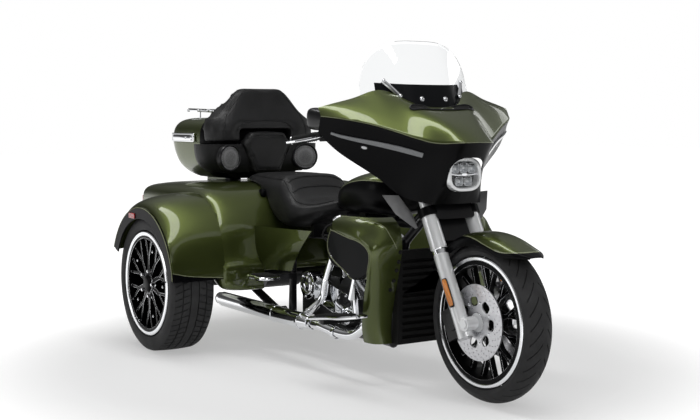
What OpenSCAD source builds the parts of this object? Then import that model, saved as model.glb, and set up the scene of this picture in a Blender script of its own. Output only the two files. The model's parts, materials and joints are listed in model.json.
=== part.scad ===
// Motorized trike: a three-wheeled touring motorcycle with a fork-mounted fairing, a V-twin engine,
// a wide rear body with two wheels under arched fenders, and a lidded luggage box behind the seats.
// Millimetres. +X points forward, +Y to the rider's left, +Z up, the ground is z = 0.

/* [Overall] */
// Length from the front tyre to the tail of the luggage lid
overall_l = 2678; // [2640:1:2720]
// Distance between the front axle and the rear axle
wheelbase = 1670; // [1655:1:1685]
// Distance between the middles of the two rear tyres
rear_track = 1240; // [1236:1:1250]

/* [Front wheel] */
// Radius over the front tyre
front_tyre_r = 319; // [312:1:322]
// Width of the front tyre
front_tyre_w = 130; // [120:1:136]
// Height of the front tyre over its bead seat
front_tyre_h = 83; // [79:1:91]
// Height of the front rim's bright lip over the bead seat
front_lip_h = 19; // [12:1:24]
// Radius of the front axle shaft
front_axle_r = 12.5; // [10:0.5:14]
// Radius of the two front brake discs
front_disc_r = 150; // [140:1:158]

/* [Rear wheels] */
// Radius over a rear tyre
rear_tyre_r = 325; // [318:1:328]
// Width of a rear tyre
rear_tyre_w = 215; // [205:1:218]
// Height of a rear tyre over its bead seat
rear_tyre_h = 96; // [91:1:103]
// Height of a rear rim's bright lip over the bead seat
rear_lip_h = 17; // [11:1:23]
// Radius of a rear wheel spindle
spindle_r = 20; // [16:0.5:24]
// Radius of a rear brake disc
rear_disc_r = 140; // [130:1:150]
// Number of split spokes in every wheel
spoke_count = 10; // [8:1:12]

/* [Steering] */
// Lean of the steering axis from upright, in degrees
rake = 28; // [26:0.5:30]
// Distance from the steering axis at the ground to the front tyre's foot
trail = 100; // [90:1:110]
// Distance from a fork leg to the middle plane
fork_y = 105; // [102:1:110]
// Distance of the fork legs ahead of the steering axis
fork_lead = 20; // [16:1:24]
// Radius of the fork's lower sliders
slider_r = 30; // [26:1:32]
// Radius of the fork's bright upper covers
cover_r = 33; // [30:1:36]
// Radius of the fork tubes inside the clamps
fork_tube_r = 24.5; // [20:0.5:28]
// Radius of the steering stem
stem_r = 15; // [12:0.5:18]
// Thickness of a fork clamp
clamp_t = 34; // [26:1:38]
// Radius of the handlebar tube
bar_r = 13; // [11:0.5:14]

/* [Panels] */
// Thickness of the fairing and fender skins
skin = 5; // [4:0.5:6]
// Thickness of the windshield
screen_t = 5; // [4:0.5:6]
// Wall of the luggage box and its lid
box_wall = 12; // [8:1:16]
// Wall of the rear body around its trunk
trunk_wall = 14; // [10:1:18]
// Thickness of the trunk door
door_t = 20; // [16:1:24]
// Thickness of the backrest cushion
cushion_t = 62; // [50:1:68]

/* [Engine and frame] */
// Angle between the two cylinders, in degrees
vee_angle = 45; // [43:1:48]
// Radius of a cylinder's cooling fins
fin_r = 70; // [62:1:71]
// Number of fins on each cylinder
fin_count = 7; // [5:1:9]
// Half width of the crankcase
case_half_w = 105; // [98:1:108]
// Radius of the frame's lower rails
rail_r = 18; // [15:0.5:19]
// Radius of the frame's backbone tube
backbone_r = 22; // [18:0.5:24]
// Radius of an exhaust header pipe
pipe_r = 22; // [18:1:24]
// Radius of a muffler
muffler_r = 37; // [32:1:42]
// Half width of the radiator shroud
radiator_half_w = 186; // [180:1:190]
// Number of slots in the radiator grille
grille_slots = 12; // [8:1:16]

/* [Plate bracket] */
// Distance between the number plate's hole rows, across
plate_hole_dx = 146; // [120:1:160]
// Distance between the number plate's hole rows, upright
plate_hole_dz = 70; // [60:1:80]
// Radius of the number plate's holes
plate_hole_r = 3.5; // [3:0.1:4]

/* [Hidden] */
$fn = 64;

// Gap between pieces that lie on each other, and the radial play of a running fit
lay = 0.3;
play = 0.05;
// Places: the front axle, the rear axle and the foot of the steering axis
fx = overall_l / 2 - front_tyre_r;
rx = fx - wheelbase;
foot_x = fx + trail;
wheel_y = rear_track / 2;
// Bead seats and lips of the rims
front_bead_r = front_tyre_r - front_tyre_h;
front_lip_r = front_bead_r + front_lip_h;
rear_bead_r = rear_tyre_r - rear_tyre_h;
rear_lip_r = rear_bead_r + rear_lip_h;
// The front axle seen along the steering axis
axle_u = front_tyre_r * sin(rake) - trail * cos(rake);
axle_w = front_tyre_r * cos(rake) + trail * sin(rake);
// Heights along the steering axis, from the axle up
slider_top = axle_w + 323.4;
lower_clamp_w = slider_top + 145;
clamp_gap = 148;
upper_clamp_w = lower_clamp_w + clamp_gap;
head_r = 34;
// The point that the fairing, screen and bars are placed from, which rides on the upper clamp
fairing_x = foot_x + 343.65 - upper_clamp_w * sin(rake);
fairing_z = upper_clamp_w * cos(rake) - 834.39;
riser_top_w = upper_clamp_w + clamp_t + 22;
bar_w = riser_top_w + bar_r + lay;
bar_mid = [foot_x - bar_w * sin(rake) - 6 * cos(rake), 60, bar_w * cos(rake) - 6 * sin(rake)];
// Engine: crankshaft, deck, head and rocker heights along a cylinder
crank_x = fx - 820;
crank_z = 268;
deck_h = 140;
fin_from = 186;
head_from = 275;
head_to = 330;
rocker_to = 366;
rail_y = 135;
rail_z = 172;
backbone_z = 662;
tank_z = backbone_z + 28;
radiator_x = fx - 395;
body_front_x = rx + 340;
body_rear_x = rx - 620;
disc_t = 6;
// Tyres and rims: crown and shoulder rounding, half widths between the lips, front hub
crown_r = 72;
shoulder_r = 26;
front_seat = front_tyre_w / 2 - 17;
rear_seat = rear_tyre_w / 2 - 15.5;
front_hub_r = 40;

// Curves: a smooth row through the rows of a table, and a curve through three points
function row_at(rows, s) = let (n = len(rows) - 1, k = min(floor(s * n), n - 1), t = s * n - k,
    a = rows[max(k - 1, 0)], b = rows[k], c = rows[k + 1], d = rows[min(k + 2, n)])
    0.5 * (2 * b + (c - a) * t + (2 * a - 5 * b + 4 * c - d) * t * t + (3 * b - a - 3 * c + d) * t * t * t);
function smooth(rows, n) = [for (i = [0 : n]) row_at(rows, i / n)];
function arc3(a, b, c, t) = 2 * (t - 0.5) * (t - 1) * a - 4 * t * (t - 1) * b + 2 * t * (t - 0.5) * c;
function power(v, e) = sign(v) * pow(abs(v), 2 / e);

// Rings: rounded outlines across X and across Z
function ring_x(x, z0, z1, half_w, e, n) = [for (i = [0 : n - 1]) let (a = 360 * i / n)
    [x, half_w * power(cos(a), e), (z0 + z1) / 2 + (z1 - z0) / 2 * power(sin(a), e)]];
function ring_z(z, x0, x1, half_w, e, n) = [for (i = [0 : n - 1]) let (a = 360 * i / n)
    [(x0 + x1) / 2 + (x1 - x0) / 2 * power(cos(a), e), half_w * power(sin(a), e), z]];
function middle(ring) = [for (k = [0 : 2]) [for (p = ring) p[k]] * [for (p = ring) 1] / len(ring)];

// A closed body through rings of equal count, each end closed about its middle
module loft(rings) {
    n = len(rings[0]);
    m = len(rings);
    last = m * n;
    points = concat([for (r = rings) each r], [middle(rings[0]), middle(rings[m - 1])]);
    sides = [for (i = [0 : m - 2], j = [0 : n - 1]) let (a = i * n + j, b = i * n + (j + 1) % n)
        each [[a, a + n, b + n], [a, b + n, b]]];
    ends = [for (j = [0 : n - 1]) let (k = (j + 1) % n)
        each [[last, j, k], [last + 1, (m - 1) * n + k, (m - 1) * n + j]]];
    polyhedron(points, concat(sides, ends));
}

// A curved sheet: a grid of points and the same grid moved along its normals
function step(g, i, j, di, dj) = let (m = len(g) - 1, n = len(g[0]) - 1)
    g[min(i + di, m)][min(j + dj, n)] - g[max(i - di, 0)][max(j - dj, 0)];
function normal(g, i, j) = let (v = cross(step(g, i, j, 1, 0), step(g, i, j, 0, 1))) v / norm(v);
function moved(g, d) = [for (i = [0 : len(g) - 1]) [for (j = [0 : len(g[0]) - 1])
    g[i][j] + d * normal(g, i, j)]];
module between(top, under) {
    m = len(top);
    n = len(top[0]);
    k = m * n;
    points = concat([for (r = top) each r], [for (r = under) each r]);
    faces_top = [for (i = [0 : m - 2], j = [0 : n - 2]) let (a = i * n + j)
        each [[a, a + 1, a + n + 1], [a, a + n + 1, a + n]]];
    faces_under = [for (i = [0 : m - 2], j = [0 : n - 2]) let (a = k + i * n + j)
        each [[a, a + n + 1, a + 1], [a, a + n, a + n + 1]]];
    rim = concat([for (i = [0 : m - 1]) i * n + n - 1], [for (j = [n - 2 : -1 : 0]) (m - 1) * n + j],
        [for (i = [m - 2 : -1 : 0]) i * n], [for (j = [1 : n - 2]) j]);
    edges = [for (q = [0 : len(rim) - 1]) let (a = rim[q], b = rim[(q + 1) % len(rim)])
        each [[a, a + k, b + k], [a, b + k, b]]];
    polyhedron(points, concat(faces_top, faces_under, edges));
}
module sheet(g, t) between(g, moved(g, -t));

// A tube swept along a path
function tube_rings(path, r, n) = let (m = len(path) - 1) [for (i = [0 : m])
    let (d = path[min(i + 1, m)] - path[max(i - 1, 0)], w = d / norm(d), side = cross(w, [0.13, 0.21, 0.97]),
        u = side / norm(side), v = cross(w, u))
    [for (k = [0 : n - 1]) path[i] + r * (cos(360 * k / n) * u + sin(360 * k / n) * v)]];
module tube(path, r, n) loft(tube_rings(path, r, n));

// One shell from cuts between curved bodies
module shell() resize([0, 0, 0]) children();
module both_sides() for (s = [0, 1]) mirror([0, s, 0]) children();
module at(x, z) translate([x, 0, z]) rotate([90, 0, 0]) children();
module rod(a, b, r) {
    d = b - a;
    translate(a) rotate([0, acos(d[2] / norm(d)), atan2(d[1], d[0])]) cylinder(r = r, h = norm(d));
}
module block(x0, x1, y0, y1, z0, z1) translate([x0, y0, z0]) cube([x1 - x0, y1 - y0, z1 - z0]);
function fork_point(u, y, w) = [foot_x + u * cos(rake) - w * sin(rake), y, u * sin(rake) + w * cos(rake)];
module in_fork() translate([foot_x, 0, 0]) rotate([0, -rake, 0]) children();
module in_cylinder(side) translate([crank_x, 0, crank_z]) rotate([0, side * vee_angle / 2, 0]) children();

// Wheels
module rim(bead, lip, half_w, seat, hub_r, hub_in, hub_out, bore, face_y, face_t, disc) {
    difference() {
        union() {
            rotate_extrude($fn = 96) difference() {
                union() {
                    translate([bead - 14, -half_w]) square([14 - lay, 2 * half_w]);
                    for (s = [-1, 1]) translate([bead - 14, s > 0 ? seat + lay : -half_w])
                        square([lip - bead + 14, half_w - seat - lay]);
                }
                translate([0, -half_w]) square([bead - 16, 2 * half_w]);
            }
            translate([0, 0, -hub_in]) cylinder(r = hub_r, h = hub_in + hub_out);
            for (i = [0 : spoke_count - 1]) rotate([0, 0, 360 * (i + 0.5) / spoke_count])
                translate([0, 0, face_y - face_t]) linear_extrude(face_t) spoke(hub_r - 4, bead - 10);
            if (disc > 0) translate([0, 0, -hub_in]) cylinder(r = disc, h = 8);
        }
        translate([0, 0, -hub_in - 1]) cylinder(r = bore + play, h = hub_in + hub_out + 2);
    }
}
module spoke(r0, r1) {
    split = r0 + (r1 - r0) * 0.5;
    spread = 360 / spoke_count * 0.25;
    polygon([[r0, -11], [split, -8], [split, 8], [r0, 11]]);
    for (s = [-1, 1]) polygon([[split - 22, 0], [split - 8, s * 8],
        [r1 * cos(spread) - 4, s * (r1 * sin(spread) + 7)],
        [r1 * cos(spread) + 2, s * (r1 * sin(spread) - 6)], [split + 6, s * 1]]);
}
module lip_notches(bead, lip, seat) for (s = [0, 1]) mirror([0, s]) translate([bead - 1, seat])
    square([lip + 3 - bead, 40]);
module front_tyre() color("#1c1c1d") at(fx, front_tyre_r) rotate_extrude($fn = 96) difference() {
    intersection() {
        translate([front_tyre_r - crown_r, 0]) circle(crown_r, $fn = 96);
        translate([front_bead_r, -front_tyre_w / 2]) square([front_tyre_r, front_tyre_w]);
    }
    lip_notches(front_bead_r, front_lip_r, front_seat);
}
module rear_tyre() rotate_extrude($fn = 96) difference() {
    union() {
        translate([rear_bead_r, -rear_tyre_w / 2]) square([rear_tyre_h - shoulder_r, rear_tyre_w]);
        translate([rear_bead_r, shoulder_r - rear_tyre_w / 2]) square([rear_tyre_h, rear_tyre_w - 2 * shoulder_r]);
        for (s = [-1, 1]) translate([rear_tyre_r - shoulder_r, s * (rear_tyre_w / 2 - shoulder_r)])
            circle(shoulder_r);
    }
    lip_notches(rear_bead_r, rear_lip_r, rear_seat);
}
module front_rim() color("#26272a") at(fx, front_tyre_r)
    rim(front_bead_r, front_lip_r, front_seat + 8, front_seat, front_hub_r, 66, 66, front_axle_r, 13, 26, 0);
module front_discs() color("#b9bcc0") at(fx, front_tyre_r) for (s = [-1, 1])
    translate([0, 0, s > 0 ? 59 : -59 - disc_t]) difference() {
        cylinder(r = front_disc_r, h = disc_t);
        translate([0, 0, -1]) cylinder(r = front_hub_r + lay, h = disc_t + 2);
    }
module rear_rim() rim(rear_bead_r, rear_lip_r, rear_seat + 10, rear_seat, 48, 75, rear_seat, spindle_r,
    rear_seat - 4, 30, rear_disc_r);
module rear_tyre_left() color("#1c1c1d") translate([rx, wheel_y, rear_tyre_r]) rotate([-90, 0, 0]) rear_tyre();
module rear_rim_left() color("#26272a") translate([rx, wheel_y, rear_tyre_r]) rotate([-90, 0, 0]) rear_rim();
module rear_tyre_right() color("#1c1c1d") translate([rx, -wheel_y, rear_tyre_r]) rotate([90, 0, 0]) rear_tyre();
module rear_rim_right() color("#26272a") translate([rx, -wheel_y, rear_tyre_r]) rotate([90, 0, 0]) rear_rim();

// Fork, front axle and brakes
module fork_sliders() color("#2a2b2e") in_fork() for (s = [-1, 1]) difference() {
    union() {
        translate([fork_lead, s * fork_y, axle_w - 45]) cylinder(r = slider_r, h = slider_top - axle_w + 45);
        translate([axle_u, s * fork_y + 26, axle_w]) rotate([90, 0, 0]) cylinder(r = 27, h = 52);
    }
    translate([axle_u, s * fork_y + 40, axle_w]) rotate([90, 0, 0]) cylinder(r = front_axle_r + lay, h = 80);
}
module fork_tubes() color("#d6d8db") in_fork() for (s = [-1, 1]) translate([fork_lead, s * fork_y, 0]) {
    translate([0, 0, slider_top + lay]) cylinder(r = cover_r, h = lower_clamp_w - slider_top - 2 * lay);
    translate([0, 0, slider_top + 20]) cylinder(r = fork_tube_r, h = upper_clamp_w + clamp_t + 6 - slider_top - 20);
}
module clamp_plate() difference() {
    union() {
        for (s = [-1, 1]) translate([fork_lead, s * fork_y, 0]) cylinder(r = fork_tube_r + 16, h = clamp_t);
        translate([fork_lead - 34, -fork_y, 0]) cube([62, 2 * fork_y, clamp_t]);
    }
    for (s = [-1, 1]) translate([fork_lead, s * fork_y, -1]) cylinder(r = fork_tube_r + lay, h = clamp_t + 2);
}
module fork_clamps() color("#2a2b2e") in_fork() {
    translate([0, 0, lower_clamp_w]) clamp_plate();
    translate([0, 0, upper_clamp_w]) clamp_plate();
    translate([0, 0, lower_clamp_w + 5]) cylinder(r = stem_r, h = upper_clamp_w - lower_clamp_w);
    for (s = [-1, 1]) translate([-6, s * 45, upper_clamp_w + 10])
        cylinder(r = 15, h = riser_top_w - upper_clamp_w - 10);
}
module front_axle() color("#b9bcc0") at(fx, front_tyre_r) translate([0, 0, -fork_y - 32]) {
    cylinder(r = front_axle_r, h = 2 * fork_y + 64);
    cylinder(r = 19, h = 5);
    translate([0, 0, 2 * fork_y + 59]) cylinder(r = 19, h = 5);
}
module front_calipers() color("#1d1e20") in_fork() for (s = [-1, 1]) mirror([0, s > 0 ? 0 : 1, 0]) difference() {
    union() {
        translate([axle_u - 165, 42, axle_w - 20]) cube([84, 52, 124]);
        translate([axle_u - 100, 82, axle_w + 6]) cube([62, 40, 64]);
    }
    translate([axle_u, 62 + disc_t / 2 + 5, axle_w]) rotate([90, 0, 0])
        cylinder(r = front_disc_r + 6, h = disc_t + 10);
    translate([fork_lead, fork_y, 0]) cylinder(r = slider_r + lay, h = 800);
}

// Front fender: columns are angle over the axle, crown and edge beyond the tyre's radius, half width
fender_rows = [[46, 61, 57, 30], [51, 52, 32, 62], [61, 37, -14, 79], [76, 31, -32, 82],
    [95, 29, -34, 78], [112, 29, -28, 75], [128, 29, -16, 73], [146, 29, 2, 70]];
fender_bracket_w = axle_w + 231.4;
function fender_at(q, v) = let (a = v * 90, r = front_tyre_r + q[2] + (q[1] - q[2]) * power(cos(a), 3))
    [fx + r * cos(q[0]), q[3] * power(sin(a), 3), front_tyre_r + r * sin(q[0])];
fender_grid = [for (q = smooth(fender_rows, 18)) [for (v = [-7 : 7]) fender_at(q, v / 7)]];
module front_fender() color("#3a4232") shell() difference() {
    union() {
        sheet(fender_grid, skin);
        both_sides() in_fork() translate([fork_lead - 14, fork_y - 39, fender_bracket_w]) cube([28, 20, 60]);
    }
    in_fork() for (s = [-1, 1]) translate([fork_lead, s * fork_y, 0]) {
        translate([0, 0, 200]) cylinder(r = slider_r + lay, h = 600);
        translate([0, 0, slider_top - 1]) cylinder(r = cover_r + lay, h = 200);
    }
    at(fx, front_tyre_r) cylinder(r = front_tyre_r - 19, h = 400, center = true);
    at(fx, front_tyre_r) cylinder(r = front_tyre_r + 24, h = front_tyre_w - 6, center = true);
}

// Fairing: columns are distance from the middle, then x behind the front axle and z of the top edge,
// the brow, the crease, the tuck below it and the foot
fairing_rows = [[0, -330, 1152, -200, 1100, -68, 1016, -128, 930, -205, 765],
    [83, -338, 1156, -214, 1104, -84, 1013, -146, 922, -212, 765],
    [135, -368, 1180, -265, 1118, -160, 1010, -215, 905, -226, 768],
    [190, -425, 1216, -318, 1136, -212, 1026, -282, 905, -340, 795],
    [250, -445, 1220, -352, 1146, -258, 1050, -330, 930, -385, 858],
    [330, -460, 1190, -392, 1152, -316, 1080, -382, 975, -422, 915],
    [420, -474, 1168, -430, 1143, -384, 1103, -428, 1028, -456, 978],
    [486, -486, 1150, -476, 1135, -466, 1116, -478, 1079, -486, 1051]];
function fairing_at(s, u) = let (q = row_at(fairing_rows, abs(s)), y = sign(s) * q[0],
    p = u < 0.5 ? arc3([q[1], q[2]], [q[3], q[4]], [q[5], q[6]], 2 * u)
        : arc3([q[5], q[6]], [q[7], q[8]], [q[9], q[10]], 2 * u - 1)) [fairing_x + p[0], y, fairing_z + p[1]];
function fairing_part(s0, s1, ns, u0, u1, nu) = [for (i = [0 : ns]) [for (j = [nu : -1 : 0])
    fairing_at(s0 + (s1 - s0) * i / ns, u0 + (u1 - u0) * j / nu)]];
fairing_grid = fairing_part(-1, 1, 32, 0, 1, 10);
// Headlamp: its middle, half width, half height and depth
lamp_x = fairing_x - 186;
lamp_z = fairing_z + 884;
lamp_half_w = 82;
lamp_half_h = 68;
lamp_l = 88;
lamp_ring = [for (a = [0 : 15 : 345]) [lamp_half_w * power(cos(a), 3), lamp_half_h * power(sin(a), 3)]];
module lamp_body() translate([lamp_x, 0, lamp_z]) rotate([90, 0, 90]) children();
module fairing() color("#3a4232") shell() difference() {
    sheet(fairing_grid, skin);
    lamp_body() translate([0, 0, -80]) linear_extrude(200) offset(lay) polygon(lamp_ring);
}
module fairing_inside(gap) {
    g = moved(fairing_grid, -skin - gap);
    between(g, [for (r = g) [for (p = r) [fairing_x - 640, p[1], p[2]]]]);
}
// Dash: half width, foot and height
dash_half_w = 330;
dash_z = fairing_z + 985;
dash_h = 183;
module dash_body(grow) intersection() {
    fairing_inside(lay - grow);
    block(fairing_x - 440 - grow, fairing_x - 250, -dash_half_w - grow, dash_half_w + grow,
        dash_z - grow, dash_z + dash_h + grow);
}
module dash() color("#1d1e20") shell() dash_body(0);
module headlamp() color("#d9dde0") lamp_body() translate([0, 0, -60]) linear_extrude(lamp_l) polygon(lamp_ring);
// Light strips under the fairing's wings
strip_t = 6;
function strip_part(n) = [for (i = [0 : n]) let (s = 0.36 + 0.55 * i / n, u = 0.585 + 0.85 * pow(s - 0.5, 2))
    [for (j = [2 : -1 : 0]) fairing_at(s, u + 0.018 * j)]];
module signal_bars() color("#a9aeb2") both_sides() sheet(moved(strip_part(14), strip_t + 3 * lay), strip_t);
// Mirrors: columns are x, bottom, top and half width
mirror_y = 446;
mirror_rows = [[-604, 1076, 1140, 20], [-584, 1062, 1150, 34], [-545, 1058, 1150, 38], [-470, 1062, 1138, 34]];
module mirrors() color("#1d1e20") both_sides() shell() difference() {
    translate([fairing_x, mirror_y, fairing_z])
        loft([for (q = smooth(mirror_rows, 8)) ring_x(q[0], q[1], q[2], q[3], 3, 20)]);
    between(moved(fairing_grid, 60), moved(fairing_grid, -skin - lay));
}
// Windshield: columns are distance from the middle, then x behind the axle and z of the base and the top
screen_rows = [[0, -342, 1130, -487, 1428], [110, -358, 1138, -492, 1424], [200, -430, 1158, -507, 1388],
    [255, -478, 1172, -512, 1320], [278, -498, 1180, -508, 1240]];
screen_grid = [for (i = [-12 : 12]) let (q = row_at(screen_rows, abs(i) / 12)) [for (j = [0 : 5]) let (t = j / 5)
    [fairing_x + q[1] + (q[3] - q[1]) * t + 16 * t * (1 - t), sign(i) * q[0],
        fairing_z + q[2] + (q[4] - q[2]) * t]]];
module windshield() color("#cfd8dc") shell() difference() {
    sheet(screen_grid, screen_t);
    dash_body(lay);
    between(moved(fairing_grid, 12), moved(fairing_grid, -skin - lay));
}
// Handlebar: points from the grip's end to the risers, placed as the fairing is
bar_from = [fairing_x, 0, fairing_z];
bar_rows = [[-700, 476, 1016], [-652, 441, 1026], [-604, 406, 1036], [-545, 330, 1034], [-478, 235, 1000],
    [-405, 140, 930], bar_mid - bar_from];
bar_path = concat([for (p = smooth(bar_rows, 18)) p + bar_from], [[bar_mid[0], 0, bar_mid[2]]]);
module handlebar() color("#2a2b2e") {
    left = tube_rings(bar_path, bar_r, 12);
    loft(concat(left, [for (i = [len(left) - 2 : -1 : 0]) [for (p = left[i]) [p[0], -p[1], p[2]]]]));
}
// Grips with their switch housings: a cup round each end of the bar
grip_wall = 5;
housing_wall = 12;
grip_end = 6;
housing_end = 8;
module hand_controls() color("#1a1a1b") both_sides() {
    grip = tube_rings(bar_path, bar_r + grip_wall, 12);
    housing = tube_rings(bar_path, bar_r + housing_wall, 12);
    bore = tube_rings(bar_path, bar_r + lay, 12);
    tip = (bar_path[0] - bar_path[1]) / norm(bar_path[0] - bar_path[1]);
    loft(concat([[for (p = grip[0]) p + 6 * tip]], [for (i = [1 : grip_end]) grip[i]],
        [for (i = [grip_end : housing_end]) housing[i]], [for (i = [housing_end : -1 : 0]) bore[i]]));
}

// Frame: the corners of its backbone, from the steering head to below the seat
backbone = [[fx - 500, 0, backbone_z], [fx - 990, 0, backbone_z], [fx - 1070, 0, backbone_z - 102]];
module frame() color("#1d1e20") difference() {
    union() {
        in_fork() translate([0, 0, lower_clamp_w + clamp_t + 1]) cylinder(r = head_r, h = clamp_gap - clamp_t - 2);
        rod(fork_point(-3.6, 0, lower_clamp_w + 95), backbone[0], backbone_r);
        for (i = [0 : 2]) translate(backbone[i]) sphere(backbone_r + 2);
        for (i = [0 : 1]) rod(backbone[i], backbone[i + 1], backbone_r);
        for (x = [fx - 860, fx - 630]) block(x - 25, x + 25, -28, 28, backbone_z - 2, tank_z - 3 * lay);
        both_sides() {
            rod(fork_point(-36.4, 14, lower_clamp_w + 71.8), [fx - 425, 100, 600], rail_r + 1);
            translate([fx - 425, 100, 600]) sphere(rail_r + 3);
            rod([fx - 425, 100, 600], [fx - 462, rail_y, rail_z], rail_r);
            translate([fx - 462, rail_y, rail_z]) sphere(rail_r + 2);
            rod([fx - 462, rail_y, rail_z], [fx - 1350, rail_y, rail_z], rail_r);
            translate([fx - 1350, rail_y, rail_z]) sphere(rail_r);
            rod([fx - 1300, rail_y, rail_z], [fx - 1300, rail_y - 10, backbone[2][2]], rail_r - 1);
            translate([fx - 1300, rail_y - 10, backbone[2][2]]) sphere(rail_r + 2);
            rod([fx - 1300, rail_y - 10, backbone[2][2]], backbone[2], rail_r - 2);
            block(fx - 1185, fx - 1155, 30, 100, 552, 618 - lay);
            block(body_front_x + lay, fx - 1300, rail_y - 24, rail_y + 6, 399, 415);
            for (x = [crank_x - 180, crank_x + 70])
                block(x, x + 50, case_half_w + lay, rail_y, rail_z - 6, rail_z + 10);
            block(radiator_x - 60, radiator_x - lay, 112, 132, 290, 330);
        }
    }
    in_fork() cylinder(r = stem_r + play, h = 1200);
}

// Engine
module engine_case() color("#2a2b2e") intersection() {
    union() {
        at(crank_x, crank_z) cylinder(r = deck_h, h = 2 * case_half_w, center = true);
        block(crank_x - 440, crank_x - 112, -case_half_w + 4, case_half_w - 4, 190, 392);
    }
    block(crank_x - 500, crank_x + 300, -200, 200, 158, 600);
}
module cylinders() color("#232427") for (s = [-1, 1]) in_cylinder(s) {
    pitch = (head_from - fin_from) / fin_count;
    rotate_extrude() {
        translate([0, deck_h + lay]) square([46, head_from - deck_h]);
        for (i = [0 : fin_count - 1]) translate([0, fin_from + pitch * i]) square([fin_r, pitch * 0.45]);
    }
    head_block(0);
}
module rocker_covers() color("#d6d8db") for (s = [-1, 1]) in_cylinder(s)
    translate([-56, -case_half_w + 8, head_to + lay]) cube([112, case_half_w + 54, rocker_to - head_to]);
module pushrod_tubes() color("#d6d8db") for (s = [-1, 1], k = [-1, 1]) in_cylinder(s)
    translate([k * 21, -case_half_w + 13, deck_h + 4]) cylinder(r = 9, h = head_from - deck_h - 4 - lay);
module engine_covers() color("#c9cbce") {
    mirror([0, 1, 0]) cover(46, 72, 64, 290, 72);
    cover(58, 74, 72, 330, 20);
}
module cover(t, r0, r1, l, up) translate([crank_x, case_half_w + lay, crank_z]) rotate([-90, 0, 0]) {
    cylinder(r = r0, h = t);
    translate([-l, -up, 0]) cylinder(r = r1, h = t + 14);
    linear_extrude(t - 12) polygon([[0, r0 - 8], [0, 8 - r0], [-l, 8 - up - r1], [-l, r1 - up - 8]]);
}
module air_cleaner() color("#3b3d40") translate([crank_x, -case_half_w - lay, 540]) rotate([90, 0, 0]) {
    cylinder(r = 70, h = 30);
    translate([0, 0, 25]) cylinder(r = 84, h = 58);
}
function port(side, out) = let (a = vee_angle / 2, h = (head_from + head_to) / 2)
    [crank_x + side * ((64 + out) * cos(a) + h * sin(a)) - fx, 0, crank_z + h * cos(a) - (64 + out) * sin(a)];
right_pipe = [port(1, -4) + [0, -40, 0], port(1, 70) + [0, -44, 0], [-545, -118, 440], [-520, -218, 300],
    [-560, -255, 205], [-690, -268, 194], [-800, -276, 205], [-905, -276, 205]];
left_pipe = [port(-1, -4) + [0, 40, 0], port(-1, 60) + [0, 44, 0], [-1066, 160, 410], [-1060, 250, 290],
    [-1072, 274, 225], [-1112, 276, 206], [-1160, 276, 205]];
module header(rows, n) tube([for (p = smooth(rows, n)) p + [fx, 0, 0]], pipe_r, 12);
module exhaust_pipes() color("#cfd1d4") shell() difference() {
    union() {
        header(right_pipe, 21);
        header(left_pipe, 18);
    }
    for (s = [-1, 1]) in_cylinder(s) head_block(lay);
}
module head_block(grow) translate([-64 - grow, -case_half_w - grow, head_from - grow])
    cube([128 + 2 * grow, case_half_w + 72 + 2 * grow, head_to - head_from + 2 * grow]);
module muffler(x0) translate([x0, -276, 205]) rotate([0, -90, 0]) {
    cylinder(r1 = pipe_r + 4, r2 = muffler_r, h = 60);
    translate([0, 0, 60]) cylinder(r = muffler_r, h = x0 - rx);
    translate([0, 0, 60 + x0 - rx]) cylinder(r1 = muffler_r, r2 = muffler_r - 8, h = 40);
}
module mufflers() color("#d6d8db") {
    muffler(fx - 905 - 3 * lay);
    mirror([0, 1, 0]) muffler(fx - 1160 - 3 * lay);
}
// Radiator: depth, foot, height, and the border and open half of its grille
radiator_t = 37;
radiator_z = 185;
radiator_h = 385;
grille_edge = 24;
grille_pitch = (radiator_h - 2 * grille_edge + 3) / grille_slots;
module radiator() color("#1a1a1b") difference() {
    half = radiator_half_w - grille_edge;
    block(radiator_x, radiator_x + radiator_t, -radiator_half_w, radiator_half_w,
        radiator_z, radiator_z + radiator_h);
    for (i = [0 : grille_slots - 1]) translate([0, 0, radiator_z + grille_edge - 1 + grille_pitch * i])
        block(radiator_x + 22, radiator_x + radiator_t + 3, -half, half, 0, grille_pitch / 2);
}
// Lower fairings: columns are height, then x behind the front axle of the front, outer edge and x of the back edge
lower_rows = [[186, -400, 268, -482], [250, -404, 288, -470], [330, -392, 302, -440], [420, -368, 312, -412],
    [500, -345, 322, -378], [560, -332, 328, -356], [606, -328, 336, -400], [640, -334, 344, -590],
    [682, -356, 332, -622], [706, -398, 306, -612]];
lower_grid = [for (q = smooth(lower_rows, 20)) [for (k = [9 : -1 : 0])
    let (a = 90 * k / 9, y0 = radiator_half_w + lay)
    [fx + q[3] + (q[1] - q[3]) * power(cos(a), 3.4), y0 + (q[2] - y0) * power(sin(a), 3.4), q[0]]]];
module lower_fairings() color("#3a4232") both_sides() sheet(lower_grid, skin);
// Pockets inside the lower fairings: outline as x behind the front axle and height, inner face and depth
liner_outline = [[-678, 633], [-702, 580], [-694, 543], [-654, 513], [-569, 476], [-516, 449], [-457, 457],
    [-399, 483], [-345, 520], [-328, 600], [-355, 614], [-428, 632], [-569, 646]];
liner_y = 268;
liner_l = 38;
module fairing_liners() color("#151516") both_sides() shell() difference() {
    translate([fx, liner_y + liner_l, 0]) rotate([90, 0, 0]) linear_extrude(liner_l) polygon(liner_outline);
    between(moved(lower_grid, 60), moved(lower_grid, -skin - lay));
}

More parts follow.
